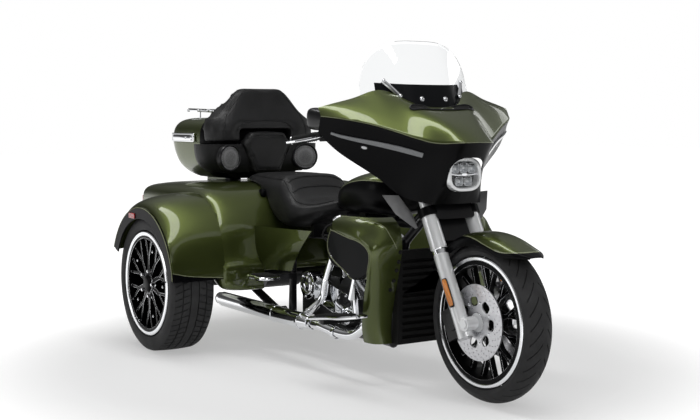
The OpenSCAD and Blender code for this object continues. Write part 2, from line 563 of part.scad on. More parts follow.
// Tank and seat: columns are x behind the front axle, bottom and top (the tank's over its seat on the
// frame), half width and squareness
tank_rows = [[-990, 12, 72, 58, 2.6], [-930, 2, 112, 112, 3], [-840, 0, 156, 150, 3], [-720, 0, 186, 168, 3],
    [-620, 0, 196, 165, 3], [-560, 6, 186, 142, 2.8], [-528, 26, 160, 95, 2.4]];
module fuel_tank() color("#3a4232") translate([fx, 0, tank_z])
    loft([for (q = smooth(tank_rows, 18)) ring_x(q[0], q[1], q[2], q[3], q[4], 28)]);
seat_rows = [[-1745, 760, 812, 120, 3], [-1700, 735, 832, 160, 3.4], [-1560, 700, 838, 188, 3.6],
    [-1400, 616, 838, 196, 4], [-1330, 592, 834, 198, 4], [-1275, 592, 782, 200, 4],
    [-1215, 598, 736, 200, 3.6], [-1130, 626, 722, 180, 3], [-1060, 664, 734, 132, 2.8], [-1000, 690, 752, 72, 2.6]];
module seat() color("#19191a") shell() difference() {
    loft([for (q = smooth(seat_rows, 24)) ring_x(fx + q[0], q[1], q[2], q[3], q[4], 28)]);
    rear_solid(lay);
    block(fx - 1190, fx - 1150, -105, 105, 560, 618);
}

// Rear body: columns are x from the rear axle, bottom, top, half width
body_rows = [[-620, 440, 768, 470], [-420, 415, 784, 492], [-150, 404, 790, 500], [50, 402, 788, 500],
    [150, 382, 766, 500], [220, 322, 712, 500], [285, 300, 590, 500], [315, 300, 470, 492], [340, 308, 420, 474]];
function body_rings(n, grow) = [for (q = smooth(body_rows, n))
    ring_x(rx + q[0], q[1] - grow, q[2] + grow, q[3] + grow, 7, 36)];
trunk_rings = [for (q = [[-620, 440, 768, 470], [-420, 430, 784, 492], [-150, 430, 788, 500]])
    ring_x(rx + q[0], q[1] + trunk_wall + 8, q[2] - trunk_wall, q[3] - trunk_wall - 60, 7, 36)];
module rear_solid(grow) loft(body_rings(20, grow));
module rear_body() color("#3a4232") shell() difference() {
    loft(concat([for (i = [2 : -1 : 0]) trunk_rings[i]], body_rings(20, 0)));
    block(rx + 170, rx + 400, -270, 270, 250, 396);
}
module trunk_door() color("#3a4232") translate([body_rear_x - lay, 0, 0]) {
    translate([-door_t, 0, 608]) rotate([90, 0, 90]) linear_extrude(door_t)
        polygon([for (a = [0 : 10 : 350]) [428 * power(cos(a), 7), 152 * power(sin(a), 7)]]);
    for (s = [-1, 1]) translate([-door_t / 2, s * 220 + 40, 452]) rotate([90, 0, 0]) cylinder(r = 9, h = 80);
}
// Rear fenders: columns are angle over the rear axle, outer edge radius and inner crown radius
arch_rows = [[7, 366, 336], [25, 366, 350], [45, 366, 392], [66, 366, 430], [90, 366, 428], [115, 366, 424],
    [138, 362, 404], [158, 352, 376]];
arch_grid = [for (q = smooth(arch_rows, 20)) [for (k = [0 : 9]) let (t = 1.125 * k / 9, a = min(t, 1) * 90,
    r = q[1] + (q[2] - q[1]) * sin(a), y = wheel_y + 121 - 241 * (1 - cos(a)) - 250 * max(t - 1, 0))
    [rx + r * cos(q[0]), y, rear_tyre_r + r * sin(q[0])]]];
module rear_fenders() color("#3a4232") both_sides() shell() difference() {
    sheet(arch_grid, skin);
    rear_solid(3 * lay);
}
module fender_guards() color("#151516") both_sides() translate([rx, wheel_y + 121, rear_tyre_r]) rotate([90, 0, 0])
    rotate([0, 0, 8]) translate([0, 0, -8]) rotate_extrude(angle = 148, $fn = 96)
    translate([308, 0]) square([52 - lay, 7]);
module red_lamps() color("#a01818") both_sides() {
    translate([rx, wheel_y + 129 + lay, rear_tyre_r]) block(-126, -58, 0, 5, 305, 331);
    block(body_rear_x - 24, body_rear_x - lay, 436, 462, 540, 700);
}
module plate_bracket() color("#232427") difference() {
    block(body_rear_x - 4 - lay, body_rear_x - lay, -95, 95, 318, 452);
    for (sy = [-1, 1], sz = [-1, 1])
        translate([body_rear_x - 20, sy * plate_hole_dx / 2, 370 + sz * plate_hole_dz / 2]) rotate([0, 90, 0])
        cylinder(r = plate_hole_r, h = 40);
}
side_grid = [for (i = [8 : -1 : 0]) [for (j = [0 : 6]) let (t = i / 8, x0 = rx + 225, x1 = fx - 1170 + 180 * j / 6)
    [x0 + (x1 - x0) * t, 288 - 74 * t * t + 12 * sin(30 * j), 402 + 200 * j / 6]]];
module side_panels() color("#31382b") both_sides() shell() difference() {
    sheet(side_grid, 8);
    rear_solid(lay);
}

// Luggage box and lid: columns are height, rear x and front x from the rear axle, half width
box_rows = [[800, -530, -182, 200], [824, -592, -176, 242], [870, -650, -173, 274], [930, -677, -172, 291],
    [981, -687, -172, 298]];
lid_rows = [[981.6, -688, -172, 299], [1030, -685, -176, 297], [1070, -668, -188, 285], [1098, -630, -218, 255],
    [1110, -570, -270, 200]];
function box_rings(rows, n, inset) = [for (q = smooth(rows, n))
    ring_z(q[0], q[1] + rx + inset, q[2] + rx - inset, q[3] - inset, 6, 32)];
module luggage_box() color("#3a4232") shell() {
    inner = box_rings([box_rows[4], box_rows[3], box_rows[2], box_rows[1] + [2, 0, 0, 0]], 6, box_wall);
    loft(concat(box_rings(box_rows, 8, 0), inner));
    difference() {
        for (s = [-1, 1]) block(rx - 500, rx - 230, s * 120 - 30, s * 120 + 30, 770, 806);
        rear_solid(lay);
    }
}
module lid_solid(grow) loft(box_rings(lid_rows, 8, -grow));
module luggage_lid() color("#3a4232") {
    inner = box_rings([lid_rows[3] - [2, 0, 0, 0], lid_rows[2], lid_rows[1], lid_rows[0]], 6, box_wall);
    loft(concat(inner, box_rings(lid_rows, 8, 0)));
}
// Backrest: columns are height, front x from the rear axle, half width and depth of the wrap
rest_rows = [[986, -112, 306, 110], [1045, -112, 309, 112], [1100, -128, 292, 96], [1140, -142, 244, 70],
    [1180, -152, 204, 50], [1245, -164, 144, 30], [1268, -172, 108, 20]];
rest_grid = [for (i = [-11 : 11]) [for (q = smooth(rest_rows, 11)) let (a = 90 * i / 11)
    [rx + q[1] - q[3] * (1 - power(cos(a), 4)), q[2] * power(sin(a), 4), q[0]]]];
module backrest() color("#19191a") shell() difference() {
    between(rest_grid, [for (r = rest_grid) [for (p = r) [p[0] - cushion_t, p[1] * 0.93, p[2]]]]);
    lid_solid(lay);
    block(rx - 200, rx, -150, 150, 900, 1044);
}
module pad_outline() polygon([[-75, 828], [75, 828], [142, 978], [96, 1038], [-96, 1038], [-142, 978]]);
module back_pad() color("#19191a") translate([rx - 166, 0, 0]) rotate([90, 0, 90]) linear_extrude(69) pad_outline();
// Speaker housings: the same columns as the backrest
pod_rows = [[832, -150, 262, 96], [862, -128, 308, 124], [915, -114, 334, 140], [976, -112, 338, 142]];
pod_grid = [for (i = [-11 : 11]) [for (q = smooth(pod_rows, 5)) let (a = 90 * i / 11)
    [rx + q[1] - q[3] * (1 - power(cos(a), 4)), q[2] * power(sin(a), 4), q[0]]]];
module speakers() color("#1d1e20") shell() difference() {
    union() {
        between(pod_grid, [for (r = pod_grid) [for (p = r) [p[0] - cushion_t, p[1] * 0.93, p[2]]]]);
        both_sides() translate([rx - 112, 222, 908]) rotate([0, 90, -14]) cylinder(r = 68, h = 24, center = true);
    }
    loft(box_rings(box_rows, 8, -lay));
    translate([rx - 240, 0, 0]) rotate([90, 0, 90]) linear_extrude(300) offset(delta = lay) pad_outline();
    block(rx - 200, rx, -144, 144, 976, 1100);
}
module luggage_rack() color("#d6d8db") {
    for (x = [rx - 540, rx - 320], s = [-1, 1]) translate([x, s * 170, 1110 + lay]) cylinder(r = 6, h = 38);
    for (s = [-1, 1]) rod([rx - 672, s * 170, 1152], [rx - 280, s * 170, 1142], 9);
    for (x = [rx - 660, rx - 540, rx - 420, rx - 300]) rod([x, -186, 1148], [x, 186, 1148], 7);
}
module lid_latch() color("#d6d8db") {
    block(rx - 590, rx - 330, -312, -299 - lay, 985, 1030);
    for (x = [rx - 570, rx - 390]) translate([x, 305.6, 981.3]) rotate([0, 90, 0]) cylinder(r = 7, h = 60);
}

// Rear axle, brakes, boards and pedals
module rear_axle() color("#1d1e20") {
    at(rx, rear_tyre_r) cylinder(r = 38, h = 2 * (wheel_y - 126), center = true);
    at(rx, rear_tyre_r) cylinder(r = 70, h = 200, center = true);
    at(rx, rear_tyre_r) cylinder(r = spindle_r, h = 2 * (wheel_y + 96), center = true);
    both_sides() {
        rod([rx, 200, rear_tyre_r - 8], [fx - 1330, 200, 200], 20);
        rod([fx - 1330, rail_y + rail_r + lay, 190], [fx - 1330, 214, 190], 24);
    }
}
module rear_calipers() color("#1d1e20") both_sides() difference() {
    union() {
        block(rx + 60, rx + 150, wheel_y - 96, wheel_y - 42, rear_tyre_r + 20, rear_tyre_r + 110);
        block(rx - 10, rx + 80, wheel_y - 114, wheel_y - 92, rear_tyre_r - 20, rear_tyre_r + 60);
    }
    translate([rx, wheel_y - 80, rear_tyre_r]) rotate([-90, 0, 0]) cylinder(r = rear_disc_r + 6, h = 18);
    translate([rx, 0, rear_tyre_r]) rotate([-90, 0, 0]) cylinder(r = spindle_r + lay, h = 700);
}
// Boards: columns are x of the back and front, y of the inner and outer edge, top, x of the bracket and tilt
boards = [[-645, -350, 337, 428, 284, -625, 8], [-1250, -1110, 305, 392, 390, -1250, 0]];
board_t = 12;
bracket_l = 26;
module on_board(b) translate([fx + b[0], 0, b[4]]) rotate([0, -b[6], 0]) children();
module footboards() color("#2a2b2e") both_sides() for (b = boards) {
    x = fx + b[5];
    inner = rail_y + rail_r + lay;
    under = b[4] - board_t;
    on_board(b) block(0, b[1] - b[0], b[2], b[3], -board_t, 0);
    block(x, x + bracket_l, inner, b[3] - 35, under - 20, under + 5);
    block(x, x + bracket_l, inner, inner + 24, rail_z - 12, under - 15);
}
// Pedals on the riders' boards: a brake pad on its arm, and a shift lever with two pads
brake_x = 276;
shift_x = 116;
module foot_controls() color("#c9cbce") on_board(boards[0]) {
    block(brake_x, brake_x + 14, -390, -376, lay, 70);
    translate([brake_x + 7, 0, 66]) rotate([0, 28, 0]) block(-7, 7, -412, -352, 0, 90);
    block(shift_x, shift_x + 14, 365, 379, lay, 45);
    block(shift_x - 86, shift_x + 120, 366, 378, 40, 52);
    for (x = [shift_x - 88, shift_x + 98]) block(x, x + 24, 345, 400, 52, 72);
}

frame();
engine_case();
cylinders();
rocker_covers();
pushrod_tubes();
engine_covers();
air_cleaner();
exhaust_pipes();
mufflers();
radiator();
lower_fairings();
fairing_liners();
fuel_tank();
seat();
back_pad();
luggage_box();
speakers();
rear_body();
rear_fenders();
fender_guards();
red_lamps();
plate_bracket();
side_panels();
rear_axle();
rear_calipers();
footboards();
foot_controls();
fork_sliders();
fork_tubes();
fork_clamps();
front_axle();
front_calipers();
front_fender();
fairing();
dash();
mirrors();
windshield();
headlamp();
signal_bars();
handlebar();
hand_controls();
front_tyre();
front_rim();
front_discs();
rear_tyre_left();
rear_rim_left();
rear_tyre_right();
rear_rim_right();
luggage_lid();
backrest();
luggage_rack();
lid_latch();
trunk_door();
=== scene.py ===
"""Looks of a motorized trike: paint, chrome, leather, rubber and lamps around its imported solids."""
import json
import math

import bmesh
import bpy
from mathutils import Matrix, Vector
from mathutils.bvhtree import BVHTree


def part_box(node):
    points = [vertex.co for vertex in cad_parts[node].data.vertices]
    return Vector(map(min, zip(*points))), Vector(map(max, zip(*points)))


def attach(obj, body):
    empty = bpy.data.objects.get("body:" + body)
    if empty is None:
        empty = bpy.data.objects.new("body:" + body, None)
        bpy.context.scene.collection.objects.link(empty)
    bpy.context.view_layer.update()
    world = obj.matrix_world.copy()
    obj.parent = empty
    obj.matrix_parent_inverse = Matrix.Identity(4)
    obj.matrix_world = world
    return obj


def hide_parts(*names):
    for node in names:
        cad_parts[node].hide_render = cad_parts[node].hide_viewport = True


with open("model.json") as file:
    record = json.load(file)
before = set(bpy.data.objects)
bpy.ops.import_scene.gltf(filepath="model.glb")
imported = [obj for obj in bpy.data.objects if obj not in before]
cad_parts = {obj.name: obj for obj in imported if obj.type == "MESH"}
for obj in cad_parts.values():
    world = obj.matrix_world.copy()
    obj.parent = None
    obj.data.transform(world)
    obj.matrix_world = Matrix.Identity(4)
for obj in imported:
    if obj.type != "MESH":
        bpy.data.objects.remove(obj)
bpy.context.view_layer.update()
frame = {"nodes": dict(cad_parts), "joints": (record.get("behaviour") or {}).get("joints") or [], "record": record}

bl_info = {
    "name": "Motorized trike looks",
    "version": (1, 0, 0),
    "blender": (4, 5, 0),
    "location": "3D View > Sidebar > Trike",
    "description": "Dresses the packed trike with paint, chrome, leather, rubber and lamps",
    "category": "Object",
}

# Places that the frame gives: wheel centres and the steering axis
JOINTS = {j["name"]: j for j in frame["joints"]}
FRONT = Vector(JOINTS["front_wheel_spin"]["pos_m"])
REAR_LEFT = Vector(JOINTS["rear_wheel_left_spin"]["pos_m"])
REAR_RIGHT = Vector(JOINTS["rear_wheel_right_spin"]["pos_m"])
STEER = Vector(JOINTS["steering"]["axis"]).normalized()
AHEAD = Vector((STEER.z, 0, -STEER.x))
UP = Vector((0, 0, 1))
SIDES = (-1, 1)


def front(x, y, z):
    """A place in millimetres: x from the front axle, y from the middle, z from the ground."""
    return Vector((FRONT.x + x / 1000, y / 1000, z / 1000))


def rear(x, y, z):
    """A place in millimetres: x from the rear axle, y from the middle, z from the ground."""
    return Vector((REAR_LEFT.x + x / 1000, y / 1000, z / 1000))


def mirrored(points, side):
    """The points as given on the right (-1), or mirrored to the left (1)."""
    return [Vector((p.x, -side * p.y, p.z)) for p in points]


def around(centre, radius, turn, y=0.0):
    """A place at an angle round the centre of a wheel or cover, and off it by y."""
    return centre + Vector((radius * math.cos(turn), y, radius * math.sin(turn)))


# Settings


def colour_setting(name, about, default):
    return bpy.props.FloatVectorProperty(name=name, description=about, subtype="COLOR", size=3,
                                         default=default)


def length_setting(name, about, default):
    return bpy.props.FloatProperty(name=name, description=about, unit="LENGTH", default=default)


class TrikeColours(bpy.types.PropertyGroup):
    """Colours of the trike's finishes"""

    green: colour_setting("Green", "Metallic olive body paint", (0.073, 0.091, 0.024))
    black: colour_setting("Black", "Gloss black body paint", (0.0025, 0.0025, 0.003))
    stripe: colour_setting("Pinstripe", "Pale line between green and black", (0.26, 0.28, 0.17))
    leather: colour_setting("Leather", "Seat leather", (0.016, 0.016, 0.0165))
    amber: colour_setting("Amber", "Side reflectors", (0.80, 0.25, 0.02))
    red: colour_setting("Red", "Rear lamps and markers", (0.55, 0.006, 0.01))


class TrikeSizes(bpy.types.PropertyGroup):
    """Sizes of the added pieces"""

    stripe_width: length_setting("Pinstripe width", "Width of the pale line", 0.003)
    bevel: length_setting("Edge rounding", "Rounding of edges that have no size of their own", 0.002)
    tread_depth: length_setting("Tread depth", "Depth of the tyre grooves", 0.006)
    stitch: length_setting("Stitch length", "Length of one stitch on the seats", 0.007)
    lens: bpy.props.FloatProperty(
        name="Focal length", description="Camera lens in millimetres on a 36 mm sensor", default=60.5)


def colours():
    return bpy.context.scene.trike_colours


def sizes():
    return bpy.context.scene.trike_sizes


def colour(name):
    return (*getattr(colours(), name), 1.0)


# Shader node groups and materials


def node(tree, kind, **values):
    """Adds a node and sets its inputs by name (or number) and its other settings by keyword."""
    made = tree.nodes.new(kind)
    for key, value in values.items():
        if key == "inputs":
            for socket, given in value.items():
                if isinstance(given, bpy.types.NodeSocket):
                    tree.links.new(given, made.inputs[socket])
                else:
                    made.inputs[socket].default_value = given
        else:
            setattr(made, key, value)
    return made


def math_node(tree, operation, first, second=0.0):
    return node(tree, "ShaderNodeMath", operation=operation, inputs={0: first, 1: second}).outputs[0]


def object_place(tree):
    return node(tree, "ShaderNodeTexCoord").outputs["Object"]


def new_group(name, given, put_out):
    """A shader node group with named value inputs (name, default) and named outputs."""
    group = bpy.data.node_groups.new(name, "ShaderNodeTree")
    for label, default in given:
        socket = group.interface.new_socket(name=label, in_out="INPUT", socket_type="NodeSocketFloat")
        socket.default_value = default
    for label in put_out:
        group.interface.new_socket(name=label, in_out="OUTPUT", socket_type="NodeSocketFloat")
    return group, group.nodes.new("NodeGroupInput").outputs, group.nodes.new("NodeGroupOutput").inputs


def grain_group():
    """Small pebbled height for leather, rubber and moulded plastic."""
    group, given, out = new_group("Grain", [("Scale", 400.0), ("Roughness", 0.6)], ["Height", "Mask"])
    place = object_place(group)
    cells = node(group, "ShaderNodeTexVoronoi", feature="SMOOTH_F1",
                 inputs={"Vector": place, "Scale": given["Scale"]}).outputs["Distance"]
    noise = node(group, "ShaderNodeTexNoise", inputs={
        "Vector": place, "Scale": given["Scale"], "Roughness": given["Roughness"]}).outputs["Fac"]
    group.links.new(math_node(group, "ADD", cells, math_node(group, "MULTIPLY", noise, 0.5)), out["Height"])
    group.links.new(noise, out["Mask"])
    return group


def scuff_group():
    """Broad soft variation, as of handling and dust, spread between two values."""
    group, given, out = new_group("Scuff", [("Scale", 6.0), ("Low", 0.3), ("High", 0.4)], ["Value"])
    place = object_place(group)
    broad = node(group, "ShaderNodeTexNoise",
                 inputs={"Vector": place, "Scale": given["Scale"], "Detail": 6.0})
    spread = node(group, "ShaderNodeMapRange", inputs={
        "Value": broad.outputs["Fac"], "From Min": 0.3, "From Max": 0.7,
        "To Min": given["Low"], "To Max": given["High"]})
    group.links.new(spread.outputs["Result"], out["Value"])
    return group


def flake_group():
    """Fine sparkle of metal flakes in paint."""
    group, given, out = new_group("Flake", [("Scale", 2600.0), ("Low", 0.8), ("High", 1.25)], ["Value"])
    cells = node(group, "ShaderNodeTexVoronoi",
                 inputs={"Vector": object_place(group), "Scale": given["Scale"]}).outputs["Color"]
    one = node(group, "ShaderNodeSeparateColor", inputs={0: cells}).outputs[0]
    spread = node(group, "ShaderNodeMapRange",
                  inputs={"Value": one, "To Min": given["Low"], "To Max": given["High"]})
    group.links.new(spread.outputs["Result"], out["Value"])
    return group


def line_group():
    """From a height above a painted edge: which side of it, and the pinstripe a little above it."""
    group, given, out = new_group("Painted line", [("Height", 0.0), ("Offset", 0.002), ("Width", 0.003)],
                                  ["Upper", "Stripe"])
    group.links.new(math_node(group, "GREATER_THAN", given["Height"], 0.0), out["Upper"])
    away = math_node(group, "ABSOLUTE", math_node(group, "SUBTRACT", given["Height"], given["Offset"]))
    half = math_node(group, "MULTIPLY", given["Width"], 0.5)
    group.links.new(math_node(group, "LESS_THAN", away, half), out["Stripe"])
    return group


GROUPS = {}
FINISHES = {}
GROUP_MAKERS = {"grain": grain_group, "scuff": scuff_group, "flake": flake_group, "line": line_group}


def effect(tree, name, **inputs):
    """Places one of the shared node groups, built on first use."""
    if name not in GROUPS:
        GROUPS[name] = GROUP_MAKERS[name]()
    placed = node(tree, "ShaderNodeGroup", node_tree=GROUPS[name])
    for label, value in inputs.items():
        label = label.replace("_", " ").capitalize()
        if isinstance(value, bpy.types.NodeSocket):
            tree.links.new(value, placed.inputs[label])
        else:
            placed.inputs[label].default_value = value
    return placed.outputs


def material(name, **settings):
    """A new Principled material; settings name its sockets with underscores."""
    made = bpy.data.materials.new(name)
    made.use_nodes = True
    bsdf = made.node_tree.nodes["Principled BSDF"]
    for key, value in settings.items():
        bsdf.inputs[key.replace("_", " ").title().replace("Ior", "IOR")].default_value = value
    return made, made.node_tree, bsdf


def bump(tree, bsdf, height, strength, distance):
    made = node(tree, "ShaderNodeBump", inputs={"Height": height, "Strength": strength, "Distance": distance})
    tree.links.new(made.outputs["Normal"], bsdf.inputs["Normal"])


def tint(tree, bsdf, base, factor):
    """Base colour times a factor that changes over the surface."""
    mixed = node(tree, "ShaderNodeVectorMath", operation="SCALE")
    if isinstance(base, bpy.types.NodeSocket):
        tree.links.new(base, mixed.inputs[0])
    else:
        mixed.inputs[0].default_value = base[:3]
    tree.links.new(factor, mixed.inputs["Scale"])
    tree.links.new(mixed.outputs[0], bsdf.inputs["Base Color"])


# Share of metal flake in the green paint, and the weight of the clear coat over green and over black
FLAKE = 0.8
GREEN_COAT = 0.7
BLACK_COAT = 0.03


def paint(name, upper, edge=None, flake=FLAKE, striped=True):
    """Coated body paint; edge(tree) may give the height above a green and black border, striped or plain."""
    made, tree, bsdf = material(name, Base_Color=upper, Metallic=flake, Roughness=0.34,
                                Specular_Ior_Level=0.06, Coat_Roughness=0.03,
                                Coat_Weight=GREEN_COAT if flake else BLACK_COAT)
    sparkle = effect(tree, "flake")["Value"]
    tree.links.new(effect(tree, "scuff", scale=3.0, low=0.30, high=0.40)["Value"], bsdf.inputs["Roughness"])
    if edge is None:
        tint(tree, bsdf, upper, sparkle)
        return made
    line = effect(tree, "line", height=edge(tree), width=sizes().stripe_width if striped else 0.0)
    two = node(tree, "ShaderNodeMix", data_type="RGBA",
               inputs={0: line["Upper"], 6: colour("black"), 7: upper})
    three = node(tree, "ShaderNodeMix", data_type="RGBA",
                 inputs={0: line["Stripe"], 6: two.outputs[2], 7: colour("stripe")})
    tint(tree, bsdf, three.outputs[2], sparkle)
    green_only = math_node(tree, "SUBTRACT", line["Upper"], line["Stripe"])
    tree.links.new(math_node(tree, "MULTIPLY", green_only, flake), bsdf.inputs["Metallic"])
    shine = node(tree, "ShaderNodeMapRange",
                 inputs={"Value": line["Upper"], "To Min": BLACK_COAT, "To Max": GREEN_COAT})
    tree.links.new(shine.outputs["Result"], bsdf.inputs["Coat Weight"])
    return made


def edge_behind(x):
    """A painted border: the distance behind a place x."""
    def depth(tree):
        split = node(tree, "ShaderNodeSeparateXYZ", inputs={0: object_place(tree)}).outputs
        return math_node(tree, "SUBTRACT", x, split["X"])
    return depth


def edge_over(axis, low, high, rows):
    """A painted border: height z as a smooth curve of |y| or x, from rows in metres."""
    def height(tree):
        split = node(tree, "ShaderNodeSeparateXYZ", inputs={0: object_place(tree)}).outputs
        along = math_node(tree, "ABSOLUTE", split["Y"]) if axis == "Y" else split["X"]
        first, last = rows[0][0], rows[-1][0]
        share = node(tree, "ShaderNodeMapRange", inputs={"Value": along, "From Min": first, "From Max": last})
        curve = tree.nodes.new("ShaderNodeFloatCurve")
        points = curve.mapping.curves[0].points
        for i, (a, z) in enumerate(rows):
            spot = ((a - first) / (last - first), (z - low) / (high - low))
            if i == 0:
                points[0].location = spot
            elif i == len(rows) - 1:
                points[-1].location = spot
            else:
                points.new(*spot)
        curve.mapping.update()
        tree.links.new(share.outputs["Result"], curve.inputs["Value"])
        back = node(tree, "ShaderNodeMapRange", clamp=False,
                    inputs={"Value": curve.outputs[0], "To Min": low, "To Max": high})
        return math_node(tree, "SUBTRACT", split["Z"], back.outputs["Result"])
    return height


def metal(name, base, low, high, scale=9.0, grain=0.0):
    """Bare metal with roughness that varies a little, and an optional fine grain."""
    made, tree, bsdf = material(name, Base_Color=(*base, 1.0), Metallic=1.0, Roughness=low)
    tree.links.new(effect(tree, "scuff", scale=scale, low=low, high=high)["Value"], bsdf.inputs["Roughness"])
    if grain:
        bump(tree, bsdf, effect(tree, "grain", scale=900.0)["Height"], grain, 0.0004)
    return made


def brushed(name, base, roughness, turn):
    """Metal with fine lines; turn stretches the lines along one axis."""
    made, tree, bsdf = material(name, Base_Color=(*base, 1.0), Metallic=1.0, Roughness=roughness)
    mapped = node(tree, "ShaderNodeMapping", inputs={"Vector": object_place(tree), "Scale": turn})
    lines = node(tree, "ShaderNodeTexNoise",
                 inputs={"Vector": mapped.outputs[0], "Scale": 60.0, "Detail": 4.0})
    spread = node(tree, "ShaderNodeMapRange", inputs={
        "Value": lines.outputs["Fac"], "To Min": roughness * 0.7, "To Max": roughness * 1.4})
    tree.links.new(spread.outputs["Result"], bsdf.inputs["Roughness"])
    bump(tree, bsdf, lines.outputs["Fac"], 0.08, 0.0005)
    return made


def plastic(name, base, roughness, grain_scale, strength, coat=0.0):
    """Moulded plastic, rubber or leather with a pebbled surface."""
    made, tree, bsdf = material(name, Base_Color=(*base[:3], 1.0), Roughness=roughness, Coat_Weight=coat,
                                Coat_Roughness=0.1, Specular_Ior_Level=0.2)
    pebbles = effect(tree, "grain", scale=grain_scale)
    worn = effect(tree, "scuff", scale=5.0, low=roughness - 0.06, high=roughness + 0.08)["Value"]
    tree.links.new(worn, bsdf.inputs["Roughness"])
    shade = effect(tree, "scuff", scale=14.0, low=0.82, high=1.2)["Value"]
    tint(tree, bsdf, base, shade)
    bump(tree, bsdf, pebbles["Height"], strength, 0.0012)
    return made


def clear(name, base):
    """Clear glass with the faintest haze."""
    made, tree, bsdf = material(name, Base_Color=(*base[:3], 1.0), IOR=1.45, Transmission_Weight=1.0)
    tree.links.new(effect(tree, "scuff", scale=4.0, low=0.0, high=0.012)["Value"], bsdf.inputs["Roughness"])
    return made


def film(name, base, alpha):
    """A thin clear cover, see-through by its alpha."""
    made, tree, bsdf = material(name, Base_Color=(*base[:3], 1.0), Alpha=alpha, Coat_Weight=1.0,
                                Coat_Roughness=0.02)
    tree.links.new(effect(tree, "scuff", scale=20.0, low=0.03, high=0.08)["Value"], bsdf.inputs["Roughness"])
    return made


def bright(name, base, shine, scale=60.0):
    """Silvered plastic of lamp reflectors, or polished alloy: part mirror, part pale. On the alloy the pale share
    is a painted reflection of the white studio.
    """
    made, tree, bsdf = material(name, Base_Color=(*base[:3], 1.0), Metallic=shine)
    tree.links.new(effect(tree, "scuff", scale=scale, low=0.16, high=0.30)["Value"], bsdf.inputs["Roughness"])
    return made


def lens(name, base, ribs):
    """Coloured lamp plastic with fine upright prisms."""
    made, tree, bsdf = material(name, Base_Color=base, Roughness=0.12, Coat_Weight=0.6, Coat_Roughness=0.03)
    waves = node(tree, "ShaderNodeTexWave", wave_type="BANDS", bands_direction="DIAGONAL",
                 inputs={"Vector": object_place(tree), "Scale": ribs, "Distortion": 0.0}).outputs["Fac"]
    spread = node(tree, "ShaderNodeMapRange", inputs={"Value": waves, "To Min": 0.75, "To Max": 1.25})
    tint(tree, bsdf, base, spread.outputs[0])
    bump(tree, bsdf, waves, 0.3, 0.001)
    return made


# Heights of the painted borders, in metres: fairing and rear fenders by |y|, tank and front fender by x
FAIRING_EDGE = [(0.0, 1.012), (0.083, 1.010), (0.135, 1.008), (0.190, 1.024), (0.250, 1.048), (0.330, 1.078),
                (0.420, 1.101), (0.486, 1.114)]
TANK_EDGE = [(0.03, 0.735), (0.10, 0.775), (0.20, 0.815), (0.30, 0.836), (0.42, 0.842), (0.50, 0.832)]
FENDER_EDGE = [(0.70, 0.560), (0.80, 0.612), (0.88, 0.640), (0.947, 0.648), (1.013, 0.643), (1.068, 0.630),
               (1.112, 0.619), (1.158, 0.608), (1.196, 0.606), (1.236, 0.609), (1.30, 0.612)]
REAR_FENDER_EDGE = [(0.44, 0.366), (0.52, 0.374), (0.60, 0.382), (0.68, 0.394), (0.72, 0.404), (0.76, 0.412)]
# Place x of the border on the luggage box, which is black ahead of it
BOX_EDGE = -0.937

